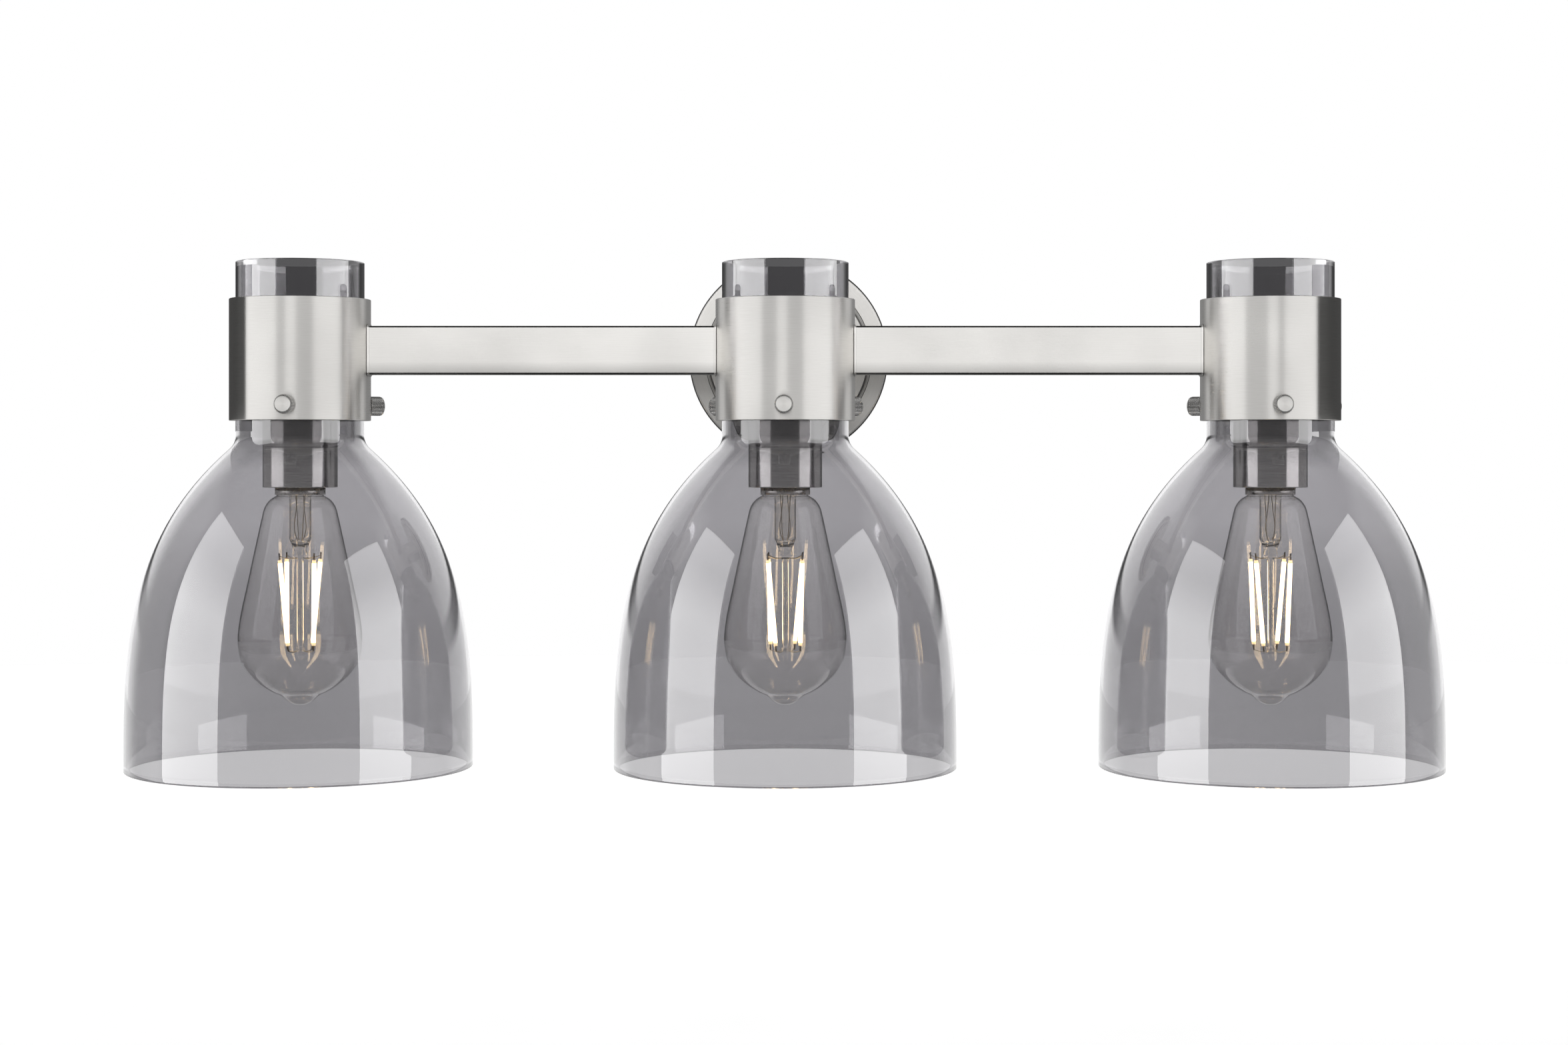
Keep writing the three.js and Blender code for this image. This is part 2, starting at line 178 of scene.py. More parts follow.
def revolve(name, profile, segments, place=(0, 0, 0), axis="Z", radius_at=None):
    """A solid of revolution of (radius, height) points, whose UV map is in metres.

    The outline closes on itself unless both of its ends lie on the axis.
    radius_at(radius, height, angle) may change a point's radius, for knurls and threads.
    """
    points = [Vector(p) for p in profile]
    closed = points[0].x > 1e-9 or points[-1].x > 1e-9
    wide = max(p.x for p in points)
    verts = []
    rows = []
    for p in points:
        if p.x < 1e-9:
            rows.append([len(verts)])
            verts.append(Vector((0, 0, p.y)))
            continue
        row = []
        for j in range(segments):
            angle = pi / 2 + 2 * pi * j / segments
            r = radius_at(p.x, p.y, angle) if radius_at else p.x
            row.append(len(verts))
            verts.append(Vector((r * cos(angle), r * sin(angle), p.y)))
        rows.append(row)
    lengths = [0.0]
    for a, b in zip(points, points[1:]):
        lengths.append(lengths[-1] + (b - a).length)
    pairs = [(i, i + 1, lengths[i], lengths[i + 1]) for i in range(len(points) - 1)]
    if closed:
        end = lengths[-1] + (points[0] - points[-1]).length
        pairs.append((len(points) - 1, 0, lengths[-1], end))
    faces = []
    uvs = []
    step = 2 * pi * wide / segments
    for i, k, v0, v1 in pairs:
        a, b = rows[i], rows[k]
        if len(a) == 1 and len(b) == 1:
            continue
        for j in range(segments):
            n = (j + 1) % segments
            u0, u1 = j * step, (j + 1) * step
            middle = (u0 + u1) / 2
            near = [(a[0], middle, v0)] if len(a) == 1 else [(a[j], u0, v0), (a[n], u1, v0)]
            far = [(b[0], middle, v1)] if len(b) == 1 else [(b[n], u1, v1), (b[j], u0, v1)]
            faces.append(tuple(corner[0] for corner in near + far))
            uvs.append(tuple(corner[1:] for corner in near + far))
    obj = new_object(name, verts, faces, uvs)
    turn = {"Z": Matrix.Identity(4), "-Y": Matrix.Rotation(pi / 2, 4, "X")}
    matrix = turn[axis] if isinstance(axis, str) else axis
    obj.data.transform(Matrix.Translation(Vector(place)) @ matrix)
    return obj


def outward(degrees):
    """Turns the Z axis to point outwards at an angle from +X."""
    return Matrix.Rotation(radians(degrees), 4, "Z") @ Matrix.Rotation(pi / 2, 4, "Y")


def toward(direction):
    return Vector(direction).to_track_quat("Z", "Y").to_matrix().to_4x4()


def sweep(points, radius, sides=8):
    """Vertices, faces and UVs of a round wire along points, closed at both ends."""
    points = [Vector(p) for p in points]
    verts, faces, uvs = [], [], []
    side = None
    travelled = 0.0
    last = len(points) - 1
    for i, point in enumerate(points):
        along = (points[min(i + 1, last)] - points[max(i - 1, 0)]).normalized()
        if side is None:
            side = along.orthogonal().normalized()
        side = (side - along * side.dot(along)).normalized()
        other = along.cross(side)
        for j in range(sides):
            angle = 2 * pi * j / sides
            verts.append(point + (side * cos(angle) + other * sin(angle)) * radius)
        if i:
            step = (point - points[i - 1]).length
            for j in range(sides):
                n = (j + 1) % sides
                base = (i - 1) * sides
                faces.append((base + j, base + n, base + sides + n, base + sides + j))
                u0, u1 = j / sides * radius * 6, (j + 1) / sides * radius * 6
                far = travelled + step
                uvs.append(((u0, travelled), (u1, travelled), (u1, far), (u0, far)))
            travelled += step
    for ring, centre, flip in ((0, points[0], True), (last * sides, points[-1], False)):
        top = len(verts)
        verts.append(centre)
        for j in range(sides):
            n = (j + 1) % sides
            faces.append((ring + n, ring + j, top) if flip else (ring + j, ring + n, top))
            uvs.append(((0, 0), (radius, 0), (0, radius)))
    return verts, faces, uvs


def merged(name, parts):
    """One object made of several (verts, faces, uvs) parts."""
    verts, faces, uvs = [], [], []
    for part_verts, part_faces, part_uvs in parts:
        base = len(verts)
        verts += part_verts
        faces += [tuple(base + i for i in face) for face in part_faces]
        uvs += part_uvs
    return new_object(name, verts, faces, uvs)


def bored(obj, holes):
    """Cuts round holes, each (start, end, radius), and applies the cut."""
    for k, (start, end, radius) in enumerate(holes):
        start, end = Vector(start), Vector(end)
        length = (end - start).length
        profile = [(0, 0), (radius, 0), (radius, length), (0, length)]
        cutter = revolve("cutter", profile, 32, start, toward(end - start))
        modifier = obj.modifiers.new("hole", "BOOLEAN")
        modifier.object = cutter
        modifier.solver = "EXACT"
        depsgraph = bpy.context.evaluated_depsgraph_get()
        cut = bpy.data.meshes.new_from_object(obj.evaluated_get(depsgraph))
        obj.modifiers.clear()
        obj.data = cut
        bpy.data.objects.remove(cutter)
    return obj


# -------- materials

def add_node(tree, kind, inputs=None, **settings):
    """A node with its settings, and with its inputs linked or set."""
    node = tree.nodes.new(kind)
    for key, value in settings.items():
        setattr(node, key, value)
    for key, value in (inputs or {}).items():
        if isinstance(value, bpy.types.NodeSocket):
            tree.links.new(value, node.inputs[key])
        else:
            node.inputs[key].default_value = value
    return node


def set_stops(node, stops):
    """Gives a colour ramp its stops, each a place and either a colour or a level of grey."""
    elements = node.color_ramp.elements
    while len(elements) < len(stops):
        elements.new(0.5)
    for element, (place, color) in zip(elements, stops):
        element.position = place
        element.color = (*color, 1) if isinstance(color, tuple) else (color, color, color, 1)
    return node.outputs["Color"]


class Nodes:
    """A short way to write a material's node tree."""

    def __init__(self, name):
        self.material = bpy.data.materials.new(name)
        self.material.use_nodes = True
        self.tree = self.material.node_tree
        self.shader = self.tree.nodes["Principled BSDF"]
        self.output = self.tree.nodes["Material Output"]

    def set(self, **values):
        for key, value in values.items():
            self.shader.inputs[key.replace("_", " ")].default_value = value
        return self

    def add(self, kind, inputs=None, **settings):
        return add_node(self.tree, kind, inputs, **settings)

    def link(self, socket, name):
        self.tree.links.new(socket, self.shader.inputs[name])

    def uv(self, scale):
        place = self.add("ShaderNodeTexCoord").outputs["UV"]
        return self.add("ShaderNodeMapping", {"Vector": place, "Scale": (*scale, 1)}).outputs["Vector"]

    def where(self, scale, upright=None):
        place = self.add("ShaderNodeTexCoord").outputs["Object"]
        scales = (scale, scale, upright or scale)
        return self.add("ShaderNodeMapping", {"Vector": place, "Scale": scales}).outputs["Vector"]

    def noise(self, vector, scale=1.0, detail=3.0, rough=0.55):
        inputs = {"Vector": vector, "Scale": scale, "Detail": detail, "Roughness": rough}
        return self.add("ShaderNodeTexNoise", inputs).outputs["Fac"]

    def range(self, value, low, high, start=0.3, end=0.7):
        inputs = {"Value": value, "From Min": start, "From Max": end, "To Min": low, "To Max": high}
        return self.add("ShaderNodeMapRange", inputs).outputs["Result"]

    def part(self, vector, axis):
        return self.add("ShaderNodeSeparateXYZ", {0: vector}).outputs[axis]

    def product(self, color, level):
        node = self.add("ShaderNodeVectorMath", {0: color, 1: level}, operation="MULTIPLY")
        return node.outputs["Vector"]

    def ramp(self, value, stops):
        return set_stops(self.add("ShaderNodeValToRGB", {"Fac": value}), stops)

    def bump(self, height, strength, distance):
        inputs = {"Height": height, "Strength": strength, "Distance": distance}
        self.link(self.add("ShaderNodeBump", inputs).outputs["Normal"], "Normal")
        return self


def brushed_nickel(name, along, across, rough=0.32, stretch=0.9, bright=1.0, depth=1.0, shade=None):
    """Satin metal with hairlines. along and across are the hairlines' scales along U and V.

    shade gives (height, level) marks between which the metal darkens downwards; this is painted shade, not
    a change in the metal.
    """
    m = Nodes(name)
    m.set(Metallic=1.0, Anisotropic=stretch, Anisotropic_Rotation=0.25)
    hair = m.noise(m.uv((along, across)), detail=4.0, rough=0.62)
    patch = m.noise(m.where(18), detail=2.0)
    tint = [(0.25, (0.725 * bright, 0.710 * bright, 0.685 * bright)),
            (0.75, (0.830 * bright, 0.818 * bright, 0.795 * bright))]
    color = m.ramp(hair, tint)
    # Painted shade: the colour is multiplied down by height.
    if shade:
        height = m.part(m.where(1), "Z")
        (low, low_level), (high, high_level) = shade
        level = m.range(height, low_level, high_level, low, high)
        color = m.product(color, level)
    m.link(color, "Base Color")
    mixed = m.add("ShaderNodeMath", {0: hair, 1: patch}, operation="ADD").outputs["Value"]
    m.link(m.range(mixed, rough - 0.05, rough + 0.06, 0.7, 1.3), "Roughness")
    m.bump(hair, 0.10 * depth, 0.00012)
    tangent = m.add("ShaderNodeTangent", direction_type="UV_MAP", uv_map="UVMap")
    m.link(tangent.outputs["Tangent"], "Tangent")
    return m.material


def grainy(name, color, rough, scale, metallic=0.0, detail=3.0, darkest=0.88, bump=0.1, spread=0.08):
    m = Nodes(name)
    m.set(Metallic=metallic)
    grain = m.noise(m.where(scale), detail=detail)
    m.link(m.ramp(grain, [(0.3, tuple(c * darkest for c in color)), (0.7, color)]), "Base Color")
    m.link(m.range(grain, rough - spread, rough + spread), "Roughness")
    m.bump(grain, bump, 0.0001)
    return m.material


def plain_metal(name, color, rough, scale=300):
    return grainy(name, color, rough, scale, 1.0, 4.0, 0.86, 0.08, 0.06)


def knurled_metal(name, color, rough, radius, teeth):
    """Metal with teeth round it, with painted shade at the bottom of each groove."""
    m = Nodes(name)
    m.set(Metallic=1.0)
    turn = m.part(m.uv((teeth / (2 * pi * radius), 1)), "X")
    tooth = m.add("ShaderNodeMath", {0: turn}, operation="FRACT").outputs["Value"]
    # Painted shade: the colour falls to near black in each groove.
    dark = tuple(0.05 * c for c in color)
    stops = [(0.0, dark), (0.16, dark), (0.42, color), (0.58, color), (0.84, dark), (1.0, dark)]
    m.link(m.ramp(tooth, stops), "Base Color")
    m.link(m.range(m.noise(m.where(500)), rough - 0.05, rough + 0.05), "Roughness")
    return m.material


def tinted_glass(name, color, ior, wave, tint=0.03, levels=None):
    """Smooth glass. Its colour is what one wall of it lets through.

    levels gives (height, level) marks, up the part, that the colour is multiplied by; they paint light and
    shade into the glass.
    """
    m = Nodes(name)
    m.set(Roughness=0.0, IOR=ior, Transmission_Weight=1.0)
    cloud = m.noise(m.where(9), detail=1.0)
    low = tuple(c * (1 - tint) for c in color)
    high = tuple(min(1.0, c * (1 + tint)) for c in color)
    shown = m.ramp(cloud, [(0.3, low), (0.7, high)])
    if levels:
        bottom, top = levels[0][0], levels[-1][0]
        height = m.part(m.where(1), "Z")
        place = m.range(height, 0.0, 1.0, bottom, top)
        level = m.ramp(place, [((z - bottom) / (top - bottom), value) for z, value in levels])
        shown = m.product(shown, level)
    m.link(shown, "Base Color")
    swell = m.noise(m.where(14, 5), detail=1.0)
    m.bump(swell, wave, 0.002)
    return m.material


def glowing(name, strength):
    """Phosphor over a row of chips: a little brighter over each chip."""
    m = Nodes(name)
    m.set(Roughness=0.6, Base_Color=(0.95, 0.75, 0.35, 1))
    chips = m.add("ShaderNodeTexWave", {"Vector": m.uv((1, 1)), "Scale": 260.0, "Distortion": 0.4},
                  bands_direction="Y").outputs["Fac"]
    m.link(m.ramp(chips, [(0.0, (1.0, 0.70, 0.36)), (0.8, (1.0, 0.80, 0.50))]), "Emission Color")
    m.link(m.range(chips, strength * 0.8, strength, 0.0, 1.0), "Emission Strength")
    return m.material


NICKEL_RING = brushed_nickel("nickel_ring", 90, 3200)
# The bar nickel, also used on the arm and the welds, darkens from 6 to 12 mm below the bars' middle:
# painted shade on their lower faces.
NICKEL_BAR = brushed_nickel("nickel_bar", 60, 3200, rough=0.36, stretch=0.85,
                            shade=((-12.0 * MM, 0.64), (-6.0 * MM, 1.0)))
# Near-black copy of the nickel for the rounded edges of the bars and the canopy: painted shade and dark
# reflection along their outlines.
NICKEL_PAINTED_DARK_EDGE = brushed_nickel("nickel_painted_dark_edge", 60, 3200, rough=0.30, bright=0.10)
NICKEL_CANOPY = brushed_nickel("nickel_canopy", 70, 2600, rough=0.34, stretch=0.8)
NICKEL_SPUN = brushed_nickel("nickel_spun", 200, 5200, rough=0.30, stretch=0.7)
NICKEL_CUP = brushed_nickel("nickel_cup", 60, 1500, rough=0.14, stretch=0.4, bright=0.90, depth=0.3)
THUMB_RADIUS = 5.1 * MM
THUMB_TEETH = 40
KNURL = knurled_metal("nickel_knurl", (0.90, 0.89, 0.87), 0.26, THUMB_RADIUS, THUMB_TEETH)
ZINC = plain_metal("zinc", (0.62, 0.64, 0.66), 0.38, 160)
BRASS = plain_metal("brass", (0.80, 0.60, 0.28), 0.3)
BASE_METAL = plain_metal("base_metal", (0.62, 0.60, 0.57), 0.28)
WIRE = plain_metal("wire", (0.55, 0.50, 0.42), 0.35)
DARK_CLIP = plain_metal("filament_clip", (0.16, 0.13, 0.10), 0.4)
GREEN = grainy("green_paint", (0.03, 0.20, 0.07), 0.45, 900)
PORCELAIN = grainy("porcelain", (0.80, 0.77, 0.72), 0.4, 900)
INSULATOR = grainy("black_glass", (0.015, 0.015, 0.018), 0.2, 900)
SMOKE = tinted_glass("smoked_glass", (0.490, 0.484, 0.498), 1.52, 0.02)
# Painted light and shade: the bell's tint is lightest across its shoulder, a little darker towards the rim
# and darkest up its neck.
SMOKE_BELL = tinted_glass("smoked_bell", (0.630, 0.622, 0.640), 1.52, 0.02, levels=[
    (-218 * MM, 0.80), (-150 * MM, 0.79), (-120 * MM, 0.84), (-90 * MM, 0.98), (-62 * MM, 1.0),
    (-48 * MM, 0.78), (-45 * MM, 0.61), (-12 * MM, 0.61)])
CLEAR = tinted_glass("clear_glass", (0.965, 0.960, 0.955), 1.48, 0.02, 0.01)
STEM_GLASS = tinted_glass("stem_glass", (0.93, 0.92, 0.90), 1.50, 0.2, 0.02)
GLOW = glowing("filament_glow", 14.0)
END_GLOW = glowing("filament_end", 2.2)
SPUN = (NICKEL_SPUN, "nickel")
STEEL = (ZINC, "zinc_steel")
BASE = (BASE_METAL, "base_metal")


def painted_dark_edge(obj, chosen):
    """Gives the faces that chosen(polygon) picks a near-black nickel: a painted dark outline, standing in
    for shade and dark reflections along those edges.
    """
    obj.data.materials.append(NICKEL_PAINTED_DARK_EDGE)
    for polygon in obj.data.polygons:
        if chosen(polygon):
            polygon.material_index = 1
    return obj


def finish_piece(obj, body, material, slot, *replaced):
    obj.data.materials.clear()
    obj.data.materials.append(material)
    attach(obj, body)
    if replaced:
        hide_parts(*replaced)
    return obj


def turned_piece(name, outline, segments, place, body, look, node=None, sharp=True, **more):
    """A solid of revolution on a body. look is its material and a slot name, which is not used; sharp keeps
    flat faces flat.
    """
    obj = revolve(name, outline, segments, place, **more)
    material, slot = look
    replaced = [node] if node else []
    return finish_piece(weighted(obj) if sharp else obj, body, material, slot, *replaced)


# -------- square tubes and welds

TUBE_WALL = 1.6 * MM
TUBE_CORNER = 1.2 * MM
RING_RADIUS = (ring_high.x - ring_low.x) / 2
COPE = RING_RADIUS + GAP
WELD_GAP = 0.25 * MM
BAR_LOW, BAR_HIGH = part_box("bar_left")
BAR_DEPTH = BAR_HIGH.y - BAR_LOW.y
TUBE_HEIGHT = BAR_HIGH.z - BAR_LOW.z


def tube_section(width, height, corner, steps=6):
    """Points round a rounded rectangle, anticlockwise, each with its outward normal."""
    found = []
    for quarter in range(4):
        turn = Matrix.Rotation(quarter * pi / 2, 2)
        across, along = (width / 2, height / 2) if quarter % 2 == 0 else (height / 2, width / 2)
        for k in range(1, 8):
            a = (corner - along) + 2 * (along - corner) * k / 8
            found.append((turn @ Vector((across, a)), turn @ Vector((1, 0))))
        for k in range(steps + 1):
            angle = pi / 2 * k / steps
            normal = Vector((cos(angle), sin(angle)))
            middle = Vector((across - corner, along - corner))
            found.append((turn @ (middle + normal * corner), turn @ normal))
    return found


def tube_between(name, width, height, start, end, to_frame):
    """A tube between start(a, b) and end(a, b), for a point (a, b) of its section."""
    outer = [p for p, _ in tube_section(width, height, TUBE_CORNER)]
    inner = [p for p, _ in tube_section(width - 2 * TUBE_WALL, height - 2 * TUBE_WALL, TUBE_CORNER / 2)]
    count = len(outer)
    rows = []
    verts = []
    for section in (outer, inner):
        for which in (start, end):
            rows.append(len(verts))
            verts += [to_frame(which(p.x, p.y), p.x, p.y) for p in section]
    around = [0.0]
    for a, b in zip(outer, outer[1:] + outer[:1]):
        around.append(around[-1] + (b - a).length)
    faces, uvs = [], []
    for i in range(count):
        n = (i + 1) % count
        v0, v1 = around[i], around[i + 1]
        quads = [
            (rows[0] + i, rows[0] + n, rows[1] + n, rows[1] + i),
            (rows[2] + n, rows[2] + i, rows[3] + i, rows[3] + n),
            (rows[2] + i, rows[2] + n, rows[0] + n, rows[0] + i),
            (rows[1] + i, rows[1] + n, rows[3] + n, rows[3] + i),
        ]
        length = (Vector(verts[rows[1] + i]) - Vector(verts[rows[0] + i])).length
        faces += quads
        uvs.append(((0, v0), (0, v1), (length, v1), (length, v0)))
        uvs.append(((0, v1), (0, v0), (length, v0), (length, v1)))
        uvs += [((0, v0), (0, v1), (0.001, v1), (0.001, v0))] * 2
    return weighted(new_object(name, verts, faces, uvs))


def weld(name, width, height, mark, side, to_frame):
    """A small hollow fillet where a tube meets a ring. mark is the ring's place along the tube."""
    size = 0.9 * MM
    section = tube_section(width, height, TUBE_CORNER)
    proud = 0.02 * MM
    verts, faces, uvs = [], [], []

    def reach(a):
        return sqrt(RING_RADIUS ** 2 - a * a) + WELD_GAP

    for p, normal in section:
        foot = p + normal * proud
        on_ring = p + normal * size
        corner = (reach(foot.x), foot)
        first = (reach(on_ring.x), on_ring)
        last = (reach(foot.x) + size, foot)
        loop = []
        for k in range(6):
            t = k / 5
            along = first[0] * (1 - t) ** 2 + corner[0] * 2 * t * (1 - t) + last[0] * t * t
            spot = first[1] * (1 - t) ** 2 + corner[1] * 2 * t * (1 - t) + last[1] * t * t
            loop.append((along, spot))
        loop.append(corner)
        verts += [to_frame(mark + side * along, spot.x, spot.y) for along, spot in loop]
    count = len(section)
    for i in range(count):
        n = (i + 1) % count
        for k in range(7):
            m = (k + 1) % 7
            quad = (i * 7 + k, i * 7 + m, n * 7 + m, n * 7 + k)
            faces.append(quad if side < 0 else quad[::-1])
            u = (i * 0.9 * MM, k * 0.3 * MM)
            uvs.append((u, (u[0], u[1] + 0.3 * MM), (u[0] + MM, u[1] + 0.3 * MM), (u[0] + MM, u[1])))
    return new_object(name, verts, faces, uvs)


def along_x(t, a, b):
    return Vector((t, AXIS_Y + a, b))


def out_of_wall(t, a, b):
    return Vector((a, -t, b))


def centre_of(node):
    low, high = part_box(node)
    return (low + high) / 2


def round_box(node):
    """The corners of a node's box and half its width, which is a round part's radius."""
    low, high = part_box(node)
    return low, high, (high.x - low.x) / 2


RING_X = {light: centre_of("holder_ring_" + light).x for light in LIGHTS}

for name, near, far in (("bar_left", "left", "middle"), ("bar_right", "middle", "right")):
    x0, x1 = RING_X[near], RING_X[far]
    tube = tube_between(name + "_tube", BAR_DEPTH, TUBE_HEIGHT,
                        lambda a, b, x=x0: x + sqrt(COPE ** 2 - a * a),
                        lambda a, b, x=x1: x - sqrt(COPE ** 2 - a * a), along_x)
    finish_piece(tube, "fixture", NICKEL_BAR, "nickel", name)
    # Painted dark lines along the bars' rounded top and bottom edges.
    painted_dark_edge(tube, lambda p: 0.30 < abs(p.normal.z) < 0.985 and abs(p.normal.x) < 0.1)
    for tag, x, side in (("a", x0, 1), ("b", x1, -1)):
        bead = weld(f"{name}_weld_{tag}", BAR_DEPTH, TUBE_HEIGHT, x, side, along_x)
        finish_piece(bead, "fixture", NICKEL_BAR, "nickel")

arm_low, arm_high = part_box("arm")
arm = tube_between("arm_tube", TUBE_HEIGHT, TUBE_HEIGHT, lambda a, b: -arm_high.y,
                   lambda a, b: -AXIS_Y - sqrt(COPE ** 2 - a * a), out_of_wall)
finish_piece(arm, "fixture", NICKEL_BAR, "nickel", "arm")
arm_weld = weld("arm_weld", TUBE_HEIGHT, TUBE_HEIGHT, -AXIS_Y, -1, out_of_wall)
finish_piece(arm_weld, "fixture", NICKEL_BAR, "nickel")


# -------- wall hardware

def threaded(depth, pitch, least):
    """A radius_at that cuts a thread into every radius above least."""
    def radius_at(radius, height, angle):
        if radius < least:
            return radius
        turn = height / pitch - angle / (2 * pi)
        return radius - depth * (0.5 - 0.5 * cos(2 * pi * turn))
    return radius_at


def knurled(depth, teeth, low, high, least=0.0):
    """A radius_at that cuts straight teeth between two heights, into every radius above least."""
    def radius_at(radius, height, angle):
        if radius < least or not low <= height <= high:
            return radius
        wave = abs(((angle / (2 * pi) * teeth) % 1) * 2 - 1)
        return radius - depth * wave
    return radius_at


def hexagonal(flat):
    """A radius_at that cuts six flats."""
    def radius_at(radius, height, angle):
        off = (angle + pi / 6) % (pi / 3) - pi / 6
        return min(radius, flat / cos(off))
    return radius_at


def steps_between(low, high, count):
    return [low + (high - low) * k / count for k in range(count + 1)]


canopy_low, canopy_high, CANOPY_RADIUS = round_box("canopy")
CANOPY_DEPTH = canopy_high.y - canopy_low.y
CANOPY_WALL = 1.2 * MM
BRIM = CANOPY_DEPTH - 5 * MM
STEP = CANOPY_RADIUS - 9.6 * MM

canopy_corners = [
    (0, CANOPY_DEPTH - CANOPY_WALL, 0),
    (STEP - 4.0 * MM, CANOPY_DEPTH - CANOPY_WALL, 0.3),
    (STEP - 3.5 * MM, BRIM + 1.3 * MM, 0.3),
    (STEP - 2.7 * MM, BRIM + 1.1 * MM, 0.3),
    (STEP - 2.4 * MM, BRIM - 1.7 * MM, 0.3),
    (CANOPY_RADIUS - CANOPY_WALL, BRIM - 1.7 * MM, 0.8),
    (CANOPY_RADIUS - CANOPY_WALL, 0, 0.2),
    (CANOPY_RADIUS, 0, 0.2),
    (CANOPY_RADIUS, BRIM - 0.4 * MM, 2.0),
    (STEP + 0.5 * MM, BRIM, 0.08),
    (STEP + 0.2 * MM, BRIM - 0.2 * MM, 0.05),
    (STEP - 1.15 * MM, BRIM - 0.5 * MM, 0.05),
    (STEP - 1.4 * MM, BRIM + 0.8 * MM, 0.15),
    (STEP - 1.8 * MM, BRIM + 2.8 * MM, 0.4),
    (STEP - 2.3 * MM, CANOPY_DEPTH, 0.7),
    (0, CANOPY_DEPTH, 0),
]
canopy = revolve("canopy_dish", filleted(canopy_corners, 5), 192, (0, 0, 0), "-Y")
nut_x = centre_of("cap_nut_right").x
holes = [((0, 0.001, 0), (0, -0.04, 0), NIPPLE_HOLE)]
holes += [((x, 0.001, 0), (x, -0.04, 0), STUD_HOLE) for x in (-nut_x, nut_x)]
bored(canopy, holes)
finish_piece(weighted(canopy), "fixture", NICKEL_CANOPY, "nickel", "canopy")
# Painted dark outline round the canopy's rounded rim.
painted_dark_edge(canopy, lambda p: 0.10 < -p.normal.y < 0.84 and hypot(p.center.x, p.center.z) > STEP - 2 * MM)


def bracket_plate():
    low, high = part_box("wall_bracket")
    half_x = (high.x - low.x) / 2
    half_z = (high.z - low.z) / 2
    thick = high.y - low.y
    corners = [(-half_x, -half_z), (half_x, -half_z), (half_x, half_z), (-half_x, half_z)]
    outline = filleted([(x, z, 6) for x, z in corners], 8)
    count = len(outline)
    verts = [(p.x, 0, p.y) for p in outline] + [(p.x, -thick, p.y) for p in outline]
    faces = [tuple(range(count)), tuple(range(2 * count - 1, count - 1, -1))]
    uvs = [[tuple(p) for p in outline], [tuple(p) for p in reversed(outline)]]
    for i in range(count):
        n = (i + 1) % count
        faces.append((n, i, count + i, count + n))
        uvs.append(((0, 0), (MM, 0), (MM, thick), (0, thick)))
    plate = new_object("crossbar", verts, faces, uvs)
    ground = centre_of("ground_screw").x
    cuts = [((0, 0.01, 0), (0, -0.01, 0), NIPPLE_HOLE)]
    cuts += [((x, 0.01, 0), (x, -0.01, 0), STUD_HOLE) for x in (-nut_x, nut_x, ground)]
    bored(plate, cuts)
    bevel = plate.modifiers.new("edge", "BEVEL")
    bevel.width = 0.2 * MM
    bevel.segments = 2
    bevel.limit_method = "ANGLE"
    return weighted(plate)


finish_piece(bracket_plate(), "fixture", ZINC, "zinc_steel", "wall_bracket")

for side in ("left", "right"):
    low, high, radius = round_box("canopy_screw_" + side)
    x = (low.x + high.x) / 2
    heights = steps_between(-high.y, -low.y, 200)
    profile = [(0, heights[0])] + [(radius, h) for h in heights] + [(0, heights[-1])]
    turned_piece("canopy_stud_" + side, profile, 20, (x, 0, 0), "fixture", STEEL, "canopy_screw_" + side,
                 sharp=False, axis="-Y", radius_at=threaded(0.28 * MM, 0.8 * MM, 0.5 * MM))
    low, high, radius = round_box("cap_nut_" + side)
    start, end = -high.y, -low.y
    outline = filleted([(0, start + 7 * MM, 0), (STUD_HOLE, start + 7 * MM, 0), (STUD_HOLE, start, 0.15),
                        (radius, start, 0.3)], 3)
    outline += [Vector((radius, h)) for h in steps_between(start + 0.8 * MM, start + 5.4 * MM, 12)]
    dome = [Vector((radius * cos(a), start + 6.2 * MM + (end - start - 6.2 * MM) * sin(a)))
            for a in steps_between(0, pi / 2, 10)]
    dome[-1].x = 0
    turned_piece("cap_nut_dome_" + side, outline + dome, 160, (x, 0, 0), "fixture", SPUN, "cap_nut_" + side,
                 axis="-Y",
                 radius_at=knurled(0.3 * MM, 40, start + 0.9 * MM, start + 5.3 * MM))

low, high, ground_radius = round_box("ground_screw")
ground_edge = ground_radius - 0.35 * MM
turned_piece("ground_screw_hex", filleted([
    (0, -high.y, 0), (2.0 * MM, -high.y, 0.1), (2.0 * MM, -high.y + 2 * MM, 0.1),
    (ground_radius, -high.y + 2 * MM, 0.2), (ground_radius, -high.y + 2.7 * MM, 0.2),
    (ground_edge, -high.y + 2.8 * MM, 0.1), (ground_edge, -low.y - 0.3 * MM, 0.1),
    (ground_radius - 0.9 * MM, -low.y, 0.2), (0, -low.y, 0)], 2),
    48, ((low.x + high.x) / 2, 0, 0), "fixture", (GREEN, "green_paint"), "ground_screw",
    axis="-Y",
    radius_at=lambda r, h, a: min(r, hexagonal(3.0 * MM)(r, h, a)) if h > -high.y + 2.75 * MM else r)

low, high, nipple_radius = round_box("arm_nipple")
nipple_bore = nipple_radius - 2 * MM
nipple_profile = [(nipple_bore, -high.y)]
nipple_profile += [(nipple_radius, h) for h in steps_between(-high.y, -low.y, 144)]
nipple_profile.append((nipple_bore, -low.y))
turned_piece("arm_nipple_thread", nipple_profile, 32, (0, 0, 0), "fixture", STEEL, "arm_nipple",
             sharp=False, axis="-Y", radius_at=threaded(0.35 * MM, 1.0 * MM, nipple_radius - 0.1 * MM))

